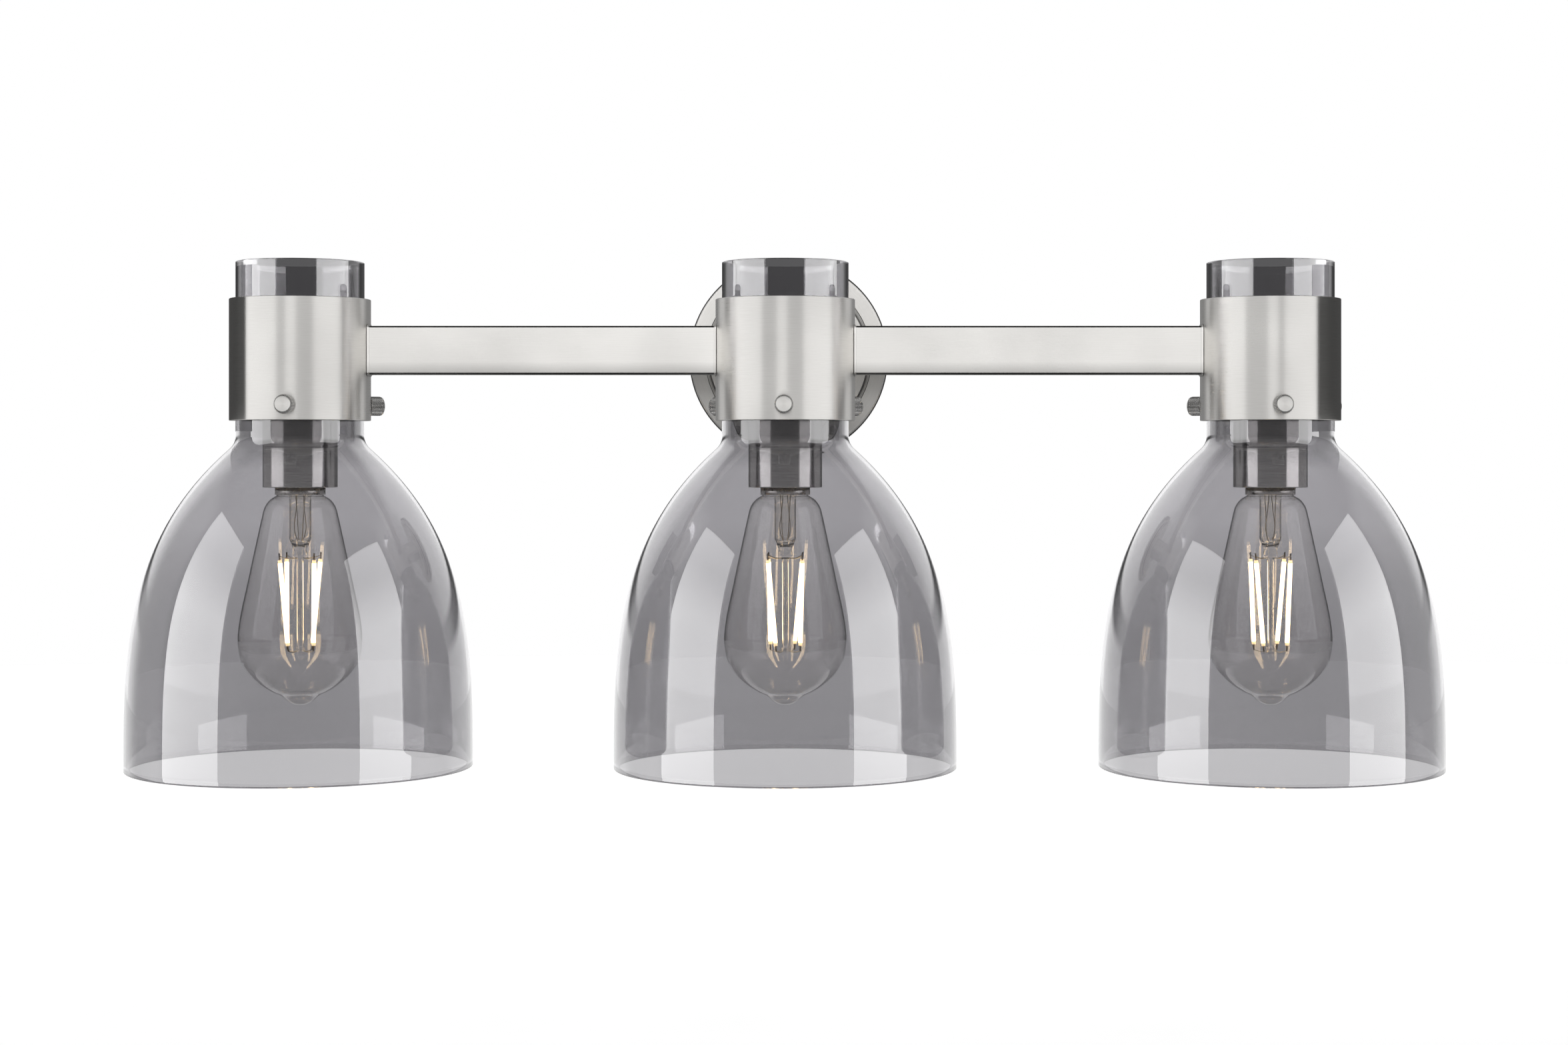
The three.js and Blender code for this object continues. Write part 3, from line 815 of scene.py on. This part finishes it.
low, high, nut_flat = round_box("arm_nut")
nut_round = nut_flat / cos(pi / 6)
arm_nut = revolve("arm_nut_hex", filleted([
    (NIPPLE_HOLE, -high.y, 0.3), (nut_flat + 0.2 * MM, -high.y, 0), (nut_round, -high.y + 0.8 * MM, 0),
    (nut_round, -low.y - 0.8 * MM, 0), (nut_flat + 0.2 * MM, -low.y, 0), (NIPPLE_HOLE, -low.y, 0.3)], 2),
    96, (0, 0, 0), "-Y", radius_at=hexagonal(nut_flat))
arm_nut.data.transform(Matrix.Rotation(pi / 6, 4, "Y"))
finish_piece(weighted(arm_nut), "fixture", ZINC, "zinc_steel", "arm_nut")


# -------- the lights

RING_BORE = RING_RADIUS - 1.8 * MM
THUMB_HOLE = 2.3 * MM
WIRE_HOLE = 4 * MM


def spot(light, height=0.0):
    return Vector((RING_X[light], AXIS_Y, height))


def side_hole(light, height, degrees, radius):
    """A hole through the ring's wall, at an angle from +X."""
    way = Vector((cos(radians(degrees)), sin(radians(degrees)), 0))
    return spot(light, height) + way * 0.030, spot(light, height) + way * 0.040, radius


def round_the_axis(obj, place):
    """Normals of a ring standing on an upright axis, smooth round it and true across its edges."""
    mesh = obj.data
    normals = [None] * len(mesh.loops)
    for polygon in mesh.polygons:
        face = polygon.normal
        for index in polygon.loop_indices:
            co = mesh.vertices[mesh.loops[index].vertex_index].co
            radial = Vector((co.x - place.x, co.y - place.y, 0)).normalized()
            facing = radial.dot(face)
            flat = sqrt(max(0.0, 1 - face.z ** 2))
            if abs(face.z) > 0.98 or abs(facing) < 0.8 * flat:
                normals[index] = face.copy()
            else:
                normals[index] = radial * copysign(flat, facing) + Vector((0, 0, face.z))
        polygon.use_smooth = True
    mesh.normals_split_custom_set([tuple(n.normalized()) for n in normals])
    return obj


def holder_ring(light):
    low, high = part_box("holder_ring_" + light)
    profile = filleted([
        (RING_BORE, low.z, 0.25), (RING_RADIUS, low.z, 0.45),
        (RING_RADIUS, high.z, 0.45), (RING_BORE, high.z, 0.25)], 5)
    ring = revolve("holder_ring_sleeve_" + light, profile, 180, spot(light))
    height = centre_of(f"thumb_shank_{light}_front").z
    holes = [side_hole(light, height, degrees, THUMB_HOLE) for degrees in SCREWS.values()]
    sides = {"left": (0,), "middle": (0, 90, 180), "right": (180,)}[light]
    holes += [side_hole(light, 0.0, degrees, WIRE_HOLE) for degrees in sides]
    bored(ring, holes)
    round_the_axis(ring, spot(light))
    finish_piece(ring, "fixture", NICKEL_RING, "nickel", "holder_ring_" + light)


def socket(light):
    low, high, radius = round_box("socket_plate_" + light)
    stem = 5 * MM
    bottom = high.z - 3 * MM
    turned_piece("socket_plate_disc_" + light, filleted([
        (0, low.z, 0), (stem, low.z, 0.4), (stem, bottom, 0.6), (radius, bottom, 0.3),
        (radius, high.z, 0.5), (7 * MM, high.z, 0.3), (6.6 * MM, high.z - 0.4 * MM, 0.2),
        (0, high.z - 0.4 * MM, 0)], 3), 96, spot(light), "fixture", SPUN, "socket_plate_" + light)

    low, high, radius = round_box("socket_cup_" + light)
    inside = radius - 1 * MM
    cup = revolve("socket_cup_shell_" + light, filleted([
        (inside, low.z, 0.4), (radius, low.z, 0.45), (radius, high.z, 1.2),
        (stem + GAP, high.z, 0.2), (stem + GAP, high.z - 1 * MM, 0.2),
        (inside, high.z - 1 * MM, 0.4)], 5), 144, spot(light))
    aside = Vector((11 * MM, 0, 0))
    bored(cup, [(spot(light, -0.03) + side * aside, spot(light) + side * aside, 2.5 * MM)
                for side in (-1, 1)])
    round_the_axis(cup, spot(light))
    finish_piece(cup, "fixture", NICKEL_CUP, "nickel", "socket_cup_" + light)

    low, high, radius = round_box("lampholder_" + light)
    bore = 13.9 * MM
    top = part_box("bulb_base_" + light)[1].z + GAP
    turned_piece("lampholder_body_" + light, filleted([
        (0, top, 0), (bore, top, 0.4), (bore, low.z, 0.6), (radius, low.z, 0.8),
        (radius, high.z, 0.8), (0, high.z, 0)], 4), 96, spot(light), "fixture", (PORCELAIN, "porcelain"),
        "lampholder_" + light)

    shell_profile = [(13.35 * MM, low.z + 1 * MM)]
    shell_profile += [(13.75 * MM, z) for z in steps_between(low.z + 1 * MM, top - 3 * MM, 60)]
    shell_profile.append((13.35 * MM, top - 3 * MM))
    turned_piece("lampholder_screw_shell_" + light, shell_profile, 48, spot(light), "fixture",
                 (BRASS, "base_metal"), sharp=False)


def upper_glass(light):
    low, high, radius = round_box("upper_glass_" + light)
    inside = radius - 2.7 * MM
    turned_piece("upper_glass_sleeve_" + light, filleted([
        (inside, low.z, 0.4), (radius, low.z, 0.4), (radius, high.z, 0.5), (inside, high.z, 0.5)], 6),
        160, spot(light), "fixture", (SMOKE, "smoked_glass"), "upper_glass_" + light)


def bell_profile(light):
    low, high, radius = round_box("bell_shade_" + light)
    neck = NECK_RADIUS
    wall = BELL_WALL
    rim = low.z
    outside = bezier(Vector((radius, rim + wall / 2)), Vector((radius, -153 * MM)),
                     Vector((88.3 * MM, -98.5 * MM)), Vector((36.7 * MM, -52 * MM)), 56)
    throat = bezier(Vector((36.7 * MM, -52 * MM)), Vector((34.3 * MM, -49.9 * MM)),
                    Vector((neck, -48 * MM)), Vector((neck, -44 * MM)), 10)
    outside += throat[1:]
    outside += [Vector((neck, z)) for z in steps_between(-44 * MM, high.z - wall / 2, 6)[1:]]
    inside = inset(outside, wall)
    bottom = (outside[0] + inside[0]) / 2
    bottom.y = rim + wall / 2
    top = (outside[-1] + inside[-1]) / 2

    def half_circle(middle, start, count):
        angles = steps_between(start, start + pi, count)[1:-1]
        return [middle + Vector((cos(a), sin(a))) * (wall / 2) for a in angles]

    return half_circle(bottom, pi, 10) + outside + half_circle(top, 0, 8) + inside[::-1]


NECK_RADIUS = round_box("upper_glass_middle")[2]
BELL_WALL = 1.8 * MM


def bell_shade(light):
    turned_piece("bell_" + light, bell_profile(light), 192, spot(light), "shade_" + light,
                 (SMOKE_BELL, "smoked_glass"), "bell_shade_" + light, sharp=False)


BULB_OUTLINE = (
    (0, -185.8), (3.4, -185.2), (6.4, -183.6), (8.6, -181.5), (10.8, -180.1), (14.6, -178.4),
    (20.4, -174.6), (26.6, -168.5), (30.5, -161.6), (32.0, -152.5), (31.6, -145.0), (30.2, -136.2),
    (27.4, -123.3), (24.7, -110.4), (21.9, -97.5), (19.6, -87.0), (18.2, -82.0), (15.6, -78.4),
    (12.9, -76.6), (11.9, -75.4), (11.9, -68.5),
)
BULB_WALL = 0.45 * MM


def bulb_glass(light):
    outside = through([Vector(p) * MM for p in BULB_OUTLINE], 6)
    inside = inset(outside, BULB_WALL)
    inside[0].x = 0
    turned_piece("bulb_envelope_" + light, outside + inside[::-1], 128, spot(light), "bulb_" + light,
                 (CLEAR, "clear_glass"), "bulb_glass_" + light, sharp=False)


def bulb_base(light):
    low, high, radius = round_box("bulb_base_" + light)
    bore = 12.3 * MM
    pitch = 25.4 / 7 * MM
    collar = low.z + 3.6 * MM
    body = "bulb_thread_" + light
    outline = [(bore, low.z), (radius - 0.15 * MM, low.z), (radius, low.z + 0.2 * MM), (radius, collar)]
    outline += [(radius - 0.05 * MM, z) for z in steps_between(collar + 0.3 * MM, high.z - 7 * MM, 96)]
    lining = bore - 0.9 * MM
    outline += [(12.1 * MM, high.z - 6.4 * MM), (11.6 * MM, high.z - 7 * MM), (lining, high.z - 8 * MM),
                (lining, collar + 1 * MM), (bore, collar)]

    def thread(r, h, angle):
        if r < radius - 0.06 * MM or h <= collar or r > radius - 0.04 * MM:
            return r
        turn = h / pitch - angle / (2 * pi)
        return r - 0.75 * MM * (0.5 - 0.5 * cos(2 * pi * turn))

    turned_piece("bulb_screw_shell_" + light, outline, 96, spot(light), body, BASE, "bulb_base_" + light,
                 sharp=False, radius_at=thread)
    turned_piece("bulb_insulator_" + light, filleted([
        (0, high.z - 7 * MM, 0), (11.2 * MM, high.z - 6.6 * MM, 0.3), (10.4 * MM, high.z - 4.4 * MM, 0.8),
        (5.0 * MM, high.z - 1.6 * MM, 0.5), (0, high.z - 1.6 * MM, 0)], 4), 64, spot(light), body,
        (INSULATOR, "base_metal"))
    turned_piece("bulb_contact_" + light, filleted([
        (0, high.z - 1.5 * MM, 0), (4.4 * MM, high.z - 1.5 * MM, 0.3), (4.2 * MM, high.z - 0.5 * MM, 0.5),
        (2.0 * MM, high.z, 0.8), (0, high.z, 0)], 4), 48, spot(light), body, BASE)


STEM_OUTLINE = (
    (0, -158.0, 0), (1.9, -157.6, 0.6), (2.5, -156.4, 0.8), (1.75, -154.9, 0.8), (1.75, -109.6, 1.5),
    (3.3, -107.6, 0.8), (2.7, -104.4, 1.2), (3.4, -102.6, 1.2), (5.6, -99.2, 3.0), (5.6, -77.5, 4.0),
    (10.4, -69.0, 0.2), (9.6, -69.0, 0.1), (4.9, -77.5, 4.0), (4.9, -99.6, 3.0), (0, -101.2, 0),
)


def bulb_stem(light):
    corners = [(r * MM, z * MM, fillet) for r, z, fillet in STEM_OUTLINE]

    def pressed(r, h, angle):
        if not -109.4 * MM < h < -102 * MM:
            return r
        return r * (1 + 0.22 * cos(2 * angle))

    turned_piece("bulb_stem_glass_" + light, filleted(corners, 6), 64, spot(light), "bulb_" + light,
                 (STEM_GLASS, "clear_glass"), "bulb_stem_" + light, sharp=False,
                 radius_at=pressed)


FILAMENT_TOP = (12.7 * MM, -108.2 * MM)
FILAMENT_END = (9.2 * MM, -155.6 * MM)
FILAMENT_TWIST = 0.24


def filaments(light):
    """Four lit filaments, their metal ends and the wires that hold them."""
    centre = spot(light)
    lit, ends, clips, wires = [], [], [], []
    for k in range(4):
        angle = pi / 4 + k * pi / 2

        def at(radius, turn, z, a=angle):
            return centre + Vector((radius * cos(a + turn), radius * sin(a + turn), z))

        top = at(FILAMENT_TOP[0], 0, FILAMENT_TOP[1])
        end = at(FILAMENT_END[0], FILAMENT_TWIST, FILAMENT_END[1])

        def between(t, a=top, b=end):
            return a + (b - a) * t

        lit.append(sweep([between(t) for t in steps_between(0.062, 0.938, 24)], 1.15 * MM, 14))
        for marks in ((0.030, 0.045, 0.0615), (0.9385, 0.955, 0.970)):
            ends.append(sweep([between(t) for t in marks], 1.05 * MM, 12))
        for marks in ((-0.045, -0.01, 0.029), (0.971, 1.0, 1.035)):
            clips.append(sweep([between(t) for t in marks], 0.42 * MM, 8))
        near = at(2.4 * MM, 0, -108.6 * MM)
        low_point = at(7.5 * MM, 0, -109.0 * MM)
        outer = at(FILAMENT_TOP[0] - 0.2 * MM, 0, FILAMENT_TOP[1] + 0.6 * MM)
        wires.append(sweep(through([near, low_point, outer], 6), 0.22 * MM, 6))
        bead = at(1.9 * MM, FILAMENT_TWIST, -157.0 * MM)
        below = at(5.2 * MM, FILAMENT_TWIST, -157.9 * MM)
        wires.append(sweep(through([bead, below, between(1.03)], 6), 0.22 * MM, 6))
        lead_top = at(3.2 * MM, 0.5, -72 * MM)
        lead = [lead_top, at(2.8 * MM, 0.1, -84 * MM), at(3.3 * MM, -0.2, -93 * MM),
                at(1.6 * MM, 0, -100.4 * MM)]
        wires.append(sweep(through(lead, 8), 0.25 * MM, 6))
    body = "bulb_" + light
    finish_piece(merged("filaments_lit_" + light, lit), body, GLOW, "filament", "bulb_filaments_" + light)
    finish_piece(merged("filament_ends_" + light, ends), body, END_GLOW, "filament")
    finish_piece(merged("filament_clips_" + light, clips), body, DARK_CLIP, "base_metal")
    finish_piece(merged("filament_wires_" + light, wires), body, WIRE, "base_metal")


def thumb_screw(light, position):
    degrees = SCREWS[position]
    shank_node = f"thumb_shank_{light}_{position}"
    head_node = f"thumb_head_{light}_{position}"
    height = centre_of(shank_node).z
    turn = outward(degrees)
    place = spot(light, height)
    start, end = NECK_RADIUS + GAP, 43 * MM
    profile = [(0, start), (1.5 * MM, start)]
    profile += [(2.0 * MM, h) for h in steps_between(start + 0.5 * MM, end, 90)]
    profile.append((0, end))
    turned_piece(f"thumb_thread_{light}_{position}", profile, 24, place, f"thumb_thread_{light}_{position}",
                 STEEL, shank_node, sharp=False, axis=turn,
                 radius_at=threaded(0.3 * MM, 0.7 * MM, 1.6 * MM))

    radius = centre_of(head_node).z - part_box(head_node)[0].z
    low, high = 37.6 * MM, 45.3 * MM
    face = radius - 1.05 * MM
    body = f"thumb_knob_{light}_{position}"
    back = filleted([(0, end + GAP, 0), (THUMB_HOLE, end + GAP, 0), (THUMB_HOLE, low, 0.2),
                     (radius - 0.35 * MM, low, 0.15)], 3)
    back += [Vector((radius, h)) for h in steps_between(low + 0.35 * MM, high - 2.4 * MM, 8)]
    shoulder = [Vector((face + 0.15 * MM + (radius - face - 0.15 * MM) * cos(a),
                        high - 2.4 * MM + 2.1 * MM * sin(a))) for a in steps_between(0.15, pi / 2, 8)]
    back += shoulder + [Vector((0, high - 0.6 * MM))]
    teeth = knurled(0.42 * MM, THUMB_TEETH, low + 0.3 * MM, high - 0.31 * MM, 3.0 * MM)
    turned_piece(f"thumb_grip_{light}_{position}", back, 240, place, body, (KNURL, "nickel"), head_node,
                 axis=turn, radius_at=teeth)
    turned_piece(f"thumb_face_{light}_{position}", filleted([
        (0, high - 0.9 * MM, 0), (face - 0.2 * MM, high - 0.9 * MM, 0.1), (face, high - 0.5 * MM, 0.2),
        (face - 0.1 * MM, high, 0.35), (face - 0.9 * MM, high - 0.12 * MM, 0.3),
        (0, high - 0.16 * MM, 0)], 5), 96, place, body, SPUN, axis=turn)


for light in LIGHTS:
    holder_ring(light)
    socket(light)
    upper_glass(light)
    bell_shade(light)
    bulb_glass(light)
    bulb_base(light)
    bulb_stem(light)
    filaments(light)
    for position in SCREWS:
        thumb_screw(light, position)


# -------- room and light

FLOOR_HEIGHT = -0.62
FLOOR_RADIUS = 6.0
FLOOR_GLOW = 0.46
MIRROR_FRONT = 0.16
MIRROR_BACK = 0.62
MIRROR_WALL = 0.25
INSIDE_FRONT = 0.40          # the same front, met by way of a glass shade
EDGE_DARK = 0.08             # what a glass neck's edges mirror
EDGE_BRIGHT = 1.25           # what a bell's edges mirror
NECK_EDGE_HEIGHT = 0.072     # how steeply the necks' edges mirror, as a direction's Z
NECK_EDGE_REACH = 0.025
CARD_Y = -0.075
CARD_HALF = 0.034
GLASS_STRIP = 7.1
NECK_STRIP = 6.4
CUP_STRIP = 2.3
METAL_STRIP = 1.02
RING_FILL = 0.64
RING_HIGHLIGHT = 0.34
BAR_FILL = 1.26
OTHER_FILL = 0.70
CANOPY_LIGHT = 1.15
CANOPY_FILL = 0.25

floor_material = Nodes("pale_floor")
mottle = floor_material.noise(floor_material.where(6), detail=2.0)
floor_material.link(floor_material.ramp(mottle, [(0.2, 0.88), (0.8, 0.91)]), "Base Color")
floor_material.set(Roughness=0.7, Emission_Color=(1, 1, 1, 1), Emission_Strength=FLOOR_GLOW)
floor_bottom = FLOOR_HEIGHT - 0.02
floor = revolve("floor", [(0, floor_bottom), (FLOOR_RADIUS, floor_bottom), (FLOOR_RADIUS, FLOOR_HEIGHT),
                          (0, FLOOR_HEIGHT)], 64)
floor.data.materials.append(floor_material.material)
floor.visible_glossy = False

world = bpy.data.worlds.new("studio")
scene.world = world
world.use_nodes = True
tree = world.node_tree
background = tree.nodes["Background"]


def world_node(kind, inputs=None, **settings):
    return add_node(tree, kind, inputs, **settings)


def sky_math(operation, *values, clamp=False):
    return world_node("ShaderNodeMath", dict(enumerate(values)), operation=operation,
                      use_clamp=clamp).outputs["Value"]


def curve_over(value, top, points):
    """A value that runs through (angle, level) points. The angle goes from 0 to top."""
    node = world_node("ShaderNodeValToRGB", {"Fac": sky_math("DIVIDE", value, top)})
    node.color_ramp.interpolation = "EASE"
    return set_stops(node, [(angle / top, level) for angle, level in points])


def mixed_levels(factor, a, b):
    return world_node("ShaderNodeMix", {0: factor, 2: a, 3: b}, data_type="FLOAT").outputs[0]


ray = world_node("ShaderNodeTexCoord").outputs["Generated"]
parts = world_node("ShaderNodeSeparateXYZ", {"Vector": ray})
turned = sky_math("DEGREES", sky_math("ABSOLUTE", sky_math(
    "ARCTAN2", parts.outputs["X"], sky_math("MULTIPLY", parts.outputs["Y"], -1.0))))
raised = sky_math("DEGREES", sky_math("ABSOLUTE", sky_math("ARCSINE", parts.outputs["Z"])))

# What metal and the face of glass reflect: dim in front, paler behind, dark overhead and below.
behind = [(97, MIRROR_BACK), (132, MIRROR_BACK), (150, MIRROR_WALL), (180, MIRROR_WALL)]
around = curve_over(turned, 180.0, [(0, MIRROR_FRONT), (85, MIRROR_FRONT)] + behind)
from_inside = curve_over(turned, 180.0, [(0, INSIDE_FRONT), (85, INSIDE_FRONT)] + behind)
front = [(0, MIRROR_FRONT), (85, MIRROR_FRONT), (97, MIRROR_BACK)]
edge_high = curve_over(turned, 180.0, front + [(132, MIRROR_BACK), (150, EDGE_DARK), (180, EDGE_DARK)])
edge_low = curve_over(turned, 180.0, front + [(118, MIRROR_BACK), (136, EDGE_BRIGHT), (180, EDGE_BRIGHT)])
off_neck = sky_math("ABSOLUTE", sky_math("SUBTRACT", parts.outputs["Z"], NECK_EDGE_HEIGHT))
away = sky_math("MULTIPLY", sky_math("SUBTRACT", off_neck, NECK_EDGE_REACH), 40.0, clamp=True)
on_glass = mixed_levels(away, edge_high, edge_low)
height_fall = curve_over(raised, 90.0, [(0, 1.0), (36, 1.0), (48, 0.14), (90, 0.10)])
path = world_node("ShaderNodeLightPath").outputs
came_through = sky_math("GREATER_THAN", path["Transmission Depth"], 2.5)
in_glass = mixed_levels(path["Is Singular Ray"], around, on_glass)
mirrored = sky_math("MULTIPLY", mixed_levels(came_through, in_glass, from_inside), height_fall)

# What is seen through glass and what lights a matt surface.
through_glass = curve_over(turned, 180.0, [(0, 0.20), (88, 0.20), (104, 1.0), (180, 1.0)])

has_mirrored = sky_math("GREATER_THAN", path["Glossy Depth"], 0.5)
level = mixed_levels(has_mirrored, through_glass, mirrored)
tree.links.new(mixed_levels(path["Is Camera Ray"], level, 1.0), background.inputs["Strength"])
background.inputs["Color"].default_value = (1, 1, 1, 1)


def softbox(name, centre, target, width, height, radiance, only=None):
    """A rectangular light that faces a point. only names a collection that alone receives it."""
    data = bpy.data.lights.new(name, "AREA")
    data.shape = "RECTANGLE"
    data.size = width
    data.size_y = height
    data.energy = radiance * pi * width * height
    lamp = bpy.data.objects.new(name, data)
    scene.collection.objects.link(lamp)
    lamp.location = centre
    way = Vector(target) - Vector(centre)
    lamp.rotation_euler = way.to_track_quat("-Z", "Y").to_euler()
    lamp.visible_camera = False
    if only:
        lamp.light_linking.receiver_collection = only
    return lamp


def panel(name, corners, level, seen_by):
    """A flat card that only some kinds of ray meet."""
    obj = new_object(name, [Vector(c) for c in corners], [(0, 1, 2, 3)],
                     [[(0, 0), (1, 0), (1, 1), (0, 1)]], smooth=False)
    card = Nodes(name + "_card")
    grain = card.noise(card.where(9), detail=1.0)
    card.link(card.ramp(grain, [(0.0, 0.97 * level), (1.0, level)]), "Emission Color")
    card.set(Base_Color=(0, 0, 0, 1), Emission_Strength=1.0, Specular_IOR_Level=0.0)
    obj.data.materials.append(card.material)
    for kind in ("camera", "diffuse", "glossy", "transmission", "shadow", "volume_scatter"):
        setattr(obj, "visible_" + kind, kind in seen_by)
    return obj


def strip(name, centre, first, last, radiance, only, distance=2.6):
    """A tall softbox that fills the azimuths from first to last, in degrees from straight in front."""
    middle = radians((first + last) / 2)
    width = 2 * distance * tan(radians((last - first) / 2))
    way = Vector((sin(middle), -cos(middle), 0))
    at = Vector((centre.x, AXIS_Y, STRIP_HEIGHT))
    return softbox(name, at + way * distance, at, width, STRIP_LENGTH, radiance, only)


def fade_upwards(lamp, levels):
    """Dims a softbox along its height. levels are (height from 0 to 1, level) pairs."""
    lamp.data.use_nodes = True
    own = lamp.data.node_tree
    place = add_node(own, "ShaderNodeSeparateXYZ")
    own.links.new(add_node(own, "ShaderNodeNewGeometry").outputs["Parametric"], place.inputs[0])
    fade = add_node(own, "ShaderNodeValToRGB", {"Fac": place.outputs["Y"]})
    own.links.new(set_stops(fade, levels), own.nodes["Emission"].inputs["Color"])


STRIP_HEIGHT = 0.55
STRIP_LENGTH = 3.3
STRIP_WIDTH = 1.95
GLASS_STRIP_WIDTH = 1.89
CUP_STRIP_LENGTH = 2.35
STRIP_FADE = [(0, 0.7), (0.17, 0.7), (0.24, 1.0), (0.50, 1.0), (0.56, 0.88), (0.65, 0.68), (0.75, 0.52),
              (1.0, 0.48)]
GROUP_NAMES = ("glass", "necks", "bars", "ring_left", "ring_middle", "ring_right", "canopy", "others")
GROUPS = {name: bpy.data.collections.new(name + "_receivers") for name in GROUP_NAMES}


def group_of(obj):
    if obj.name.startswith("upper_glass_sleeve"):
        return "necks"
    if obj.name.startswith("holder_ring_sleeve"):
        return obj.name.replace("holder_ring_sleeve", "ring")
    if obj.name.startswith("bar_"):
        return "bars"
    if obj.name.startswith("canopy_dish"):
        return "canopy"
    if obj.material_slots and obj.material_slots[0].material in (SMOKE_BELL, CLEAR, STEM_GLASS):
        return "glass"
    return "others"


for obj in scene.objects:
    if obj.type == "MESH" and not obj.hide_render and obj != floor:
        GROUPS[group_of(obj)].objects.link(obj)

for side, tag in ((-1, "left"), (1, "right")):
    place = Vector((side * 2.30, AXIS_Y - 1.02, STRIP_HEIGHT))
    aim = Vector((side * 0.30, AXIS_Y - 0.30, STRIP_HEIGHT))
    back = (place - aim).normalized() * 0.03
    main = softbox("strip_on_glass_" + tag, place, aim, GLASS_STRIP_WIDTH, STRIP_LENGTH, GLASS_STRIP,
                   GROUPS["glass"])
    main.visible_transmission = False
    fade_upwards(main, STRIP_FADE)
    lift = Vector((0, 0, (STRIP_LENGTH - CUP_STRIP_LENGTH) / 2))
    inner = softbox("strip_on_cups_" + tag, place + back + lift, aim + lift,
                    STRIP_WIDTH, CUP_STRIP_LENGTH, CUP_STRIP, GROUPS["glass"])
    inner.visible_glossy = False
    inner.visible_diffuse = False
    for name in ("others", "bars"):
        softbox(f"strip_on_{name}_{tag}", place, aim, STRIP_WIDTH, STRIP_LENGTH, METAL_STRIP, GROUPS[name])
    first, last = (-108, -37) if side < 0 else (37, 108)
    strip("strip_on_necks_" + tag, Vector(), first, last, NECK_STRIP, GROUPS["necks"])

RING_STRIPS = {"left": (-97, -28, 32, 82), "middle": (-92, -38, 31, 86), "right": (-96, -50, 14, 84)}
for light, (left_end, left_start, right_start, right_end) in RING_STRIPS.items():
    group = GROUPS["ring_" + light]
    centre = spot(light)
    strip(f"ring_strip_left_{light}", centre, left_end, left_start, METAL_STRIP, group)
    strip(f"ring_strip_right_{light}", centre, right_start, right_end, METAL_STRIP, group)
    strip(f"ring_fill_{light}", centre, left_start, right_start, RING_FILL, group, 2.8)
    strip(f"ring_highlight_{light}", centre, -13, 4, RING_HIGHLIGHT, group, 2.4)
strip("fill_on_bars", Vector(), -47, 47, BAR_FILL, GROUPS["bars"], 2.8)
strip("fill_on_others", Vector(), -47, 47, OTHER_FILL, GROUPS["others"], 2.8)
canopy_at = Vector((0, -0.015, 0))
softbox("light_over_canopy", canopy_at + Vector((0, -2.5, 1.25)), canopy_at + Vector((0, 0, 1.25)),
        6.0, 2.3, CANOPY_LIGHT, GROUPS["canopy"])
softbox("fill_on_canopy", canopy_at + Vector((0, -2.7, -0.35)), canopy_at + Vector((0, 0, -0.35)), 3.6, 1.6,
        CANOPY_FILL, GROUPS["canopy"])

# Grey cards that only rays through glass meet: painted shade seen in the necks, hiding the canopy behind
# them.
for light in LIGHTS:
    x0, x1 = RING_X[light] - CARD_HALF, RING_X[light] + CARD_HALF
    panel("grey_behind_neck_" + light, [(x0, CARD_Y, 0.0275), (x1, CARD_Y, 0.0275),
                                        (x1, CARD_Y, 0.060), (x0, CARD_Y, 0.060)],
          0.20, ("transmission",))
FLAG_START = {"left": -0.030, "right": -0.0395}
for side, light in ((-1, "left"), (1, "right")):
    x = side * (RING_X["right"] + RING_RADIUS + 0.010)
    start = AXIS_Y + FLAG_START[light]
    panel("black_flag_" + light, [(x, start, -0.042), (x, 0.0, -0.042), (x, 0.0, 0.045), (x, start, 0.045)],
          0.06, ("glossy",))

scene.view_settings.view_transform = "Standard"
scene.view_settings.look = "None"
BOUNCES = {"max_bounces": 24, "transmission_bounces": 20, "glossy_bounces": 6, "diffuse_bounces": 3,
           "transparent_max_bounces": 16}
for kind, count in BOUNCES.items():
    setattr(scene.cycles, kind, count)
scene.cycles.sample_clamp_indirect = 6.0
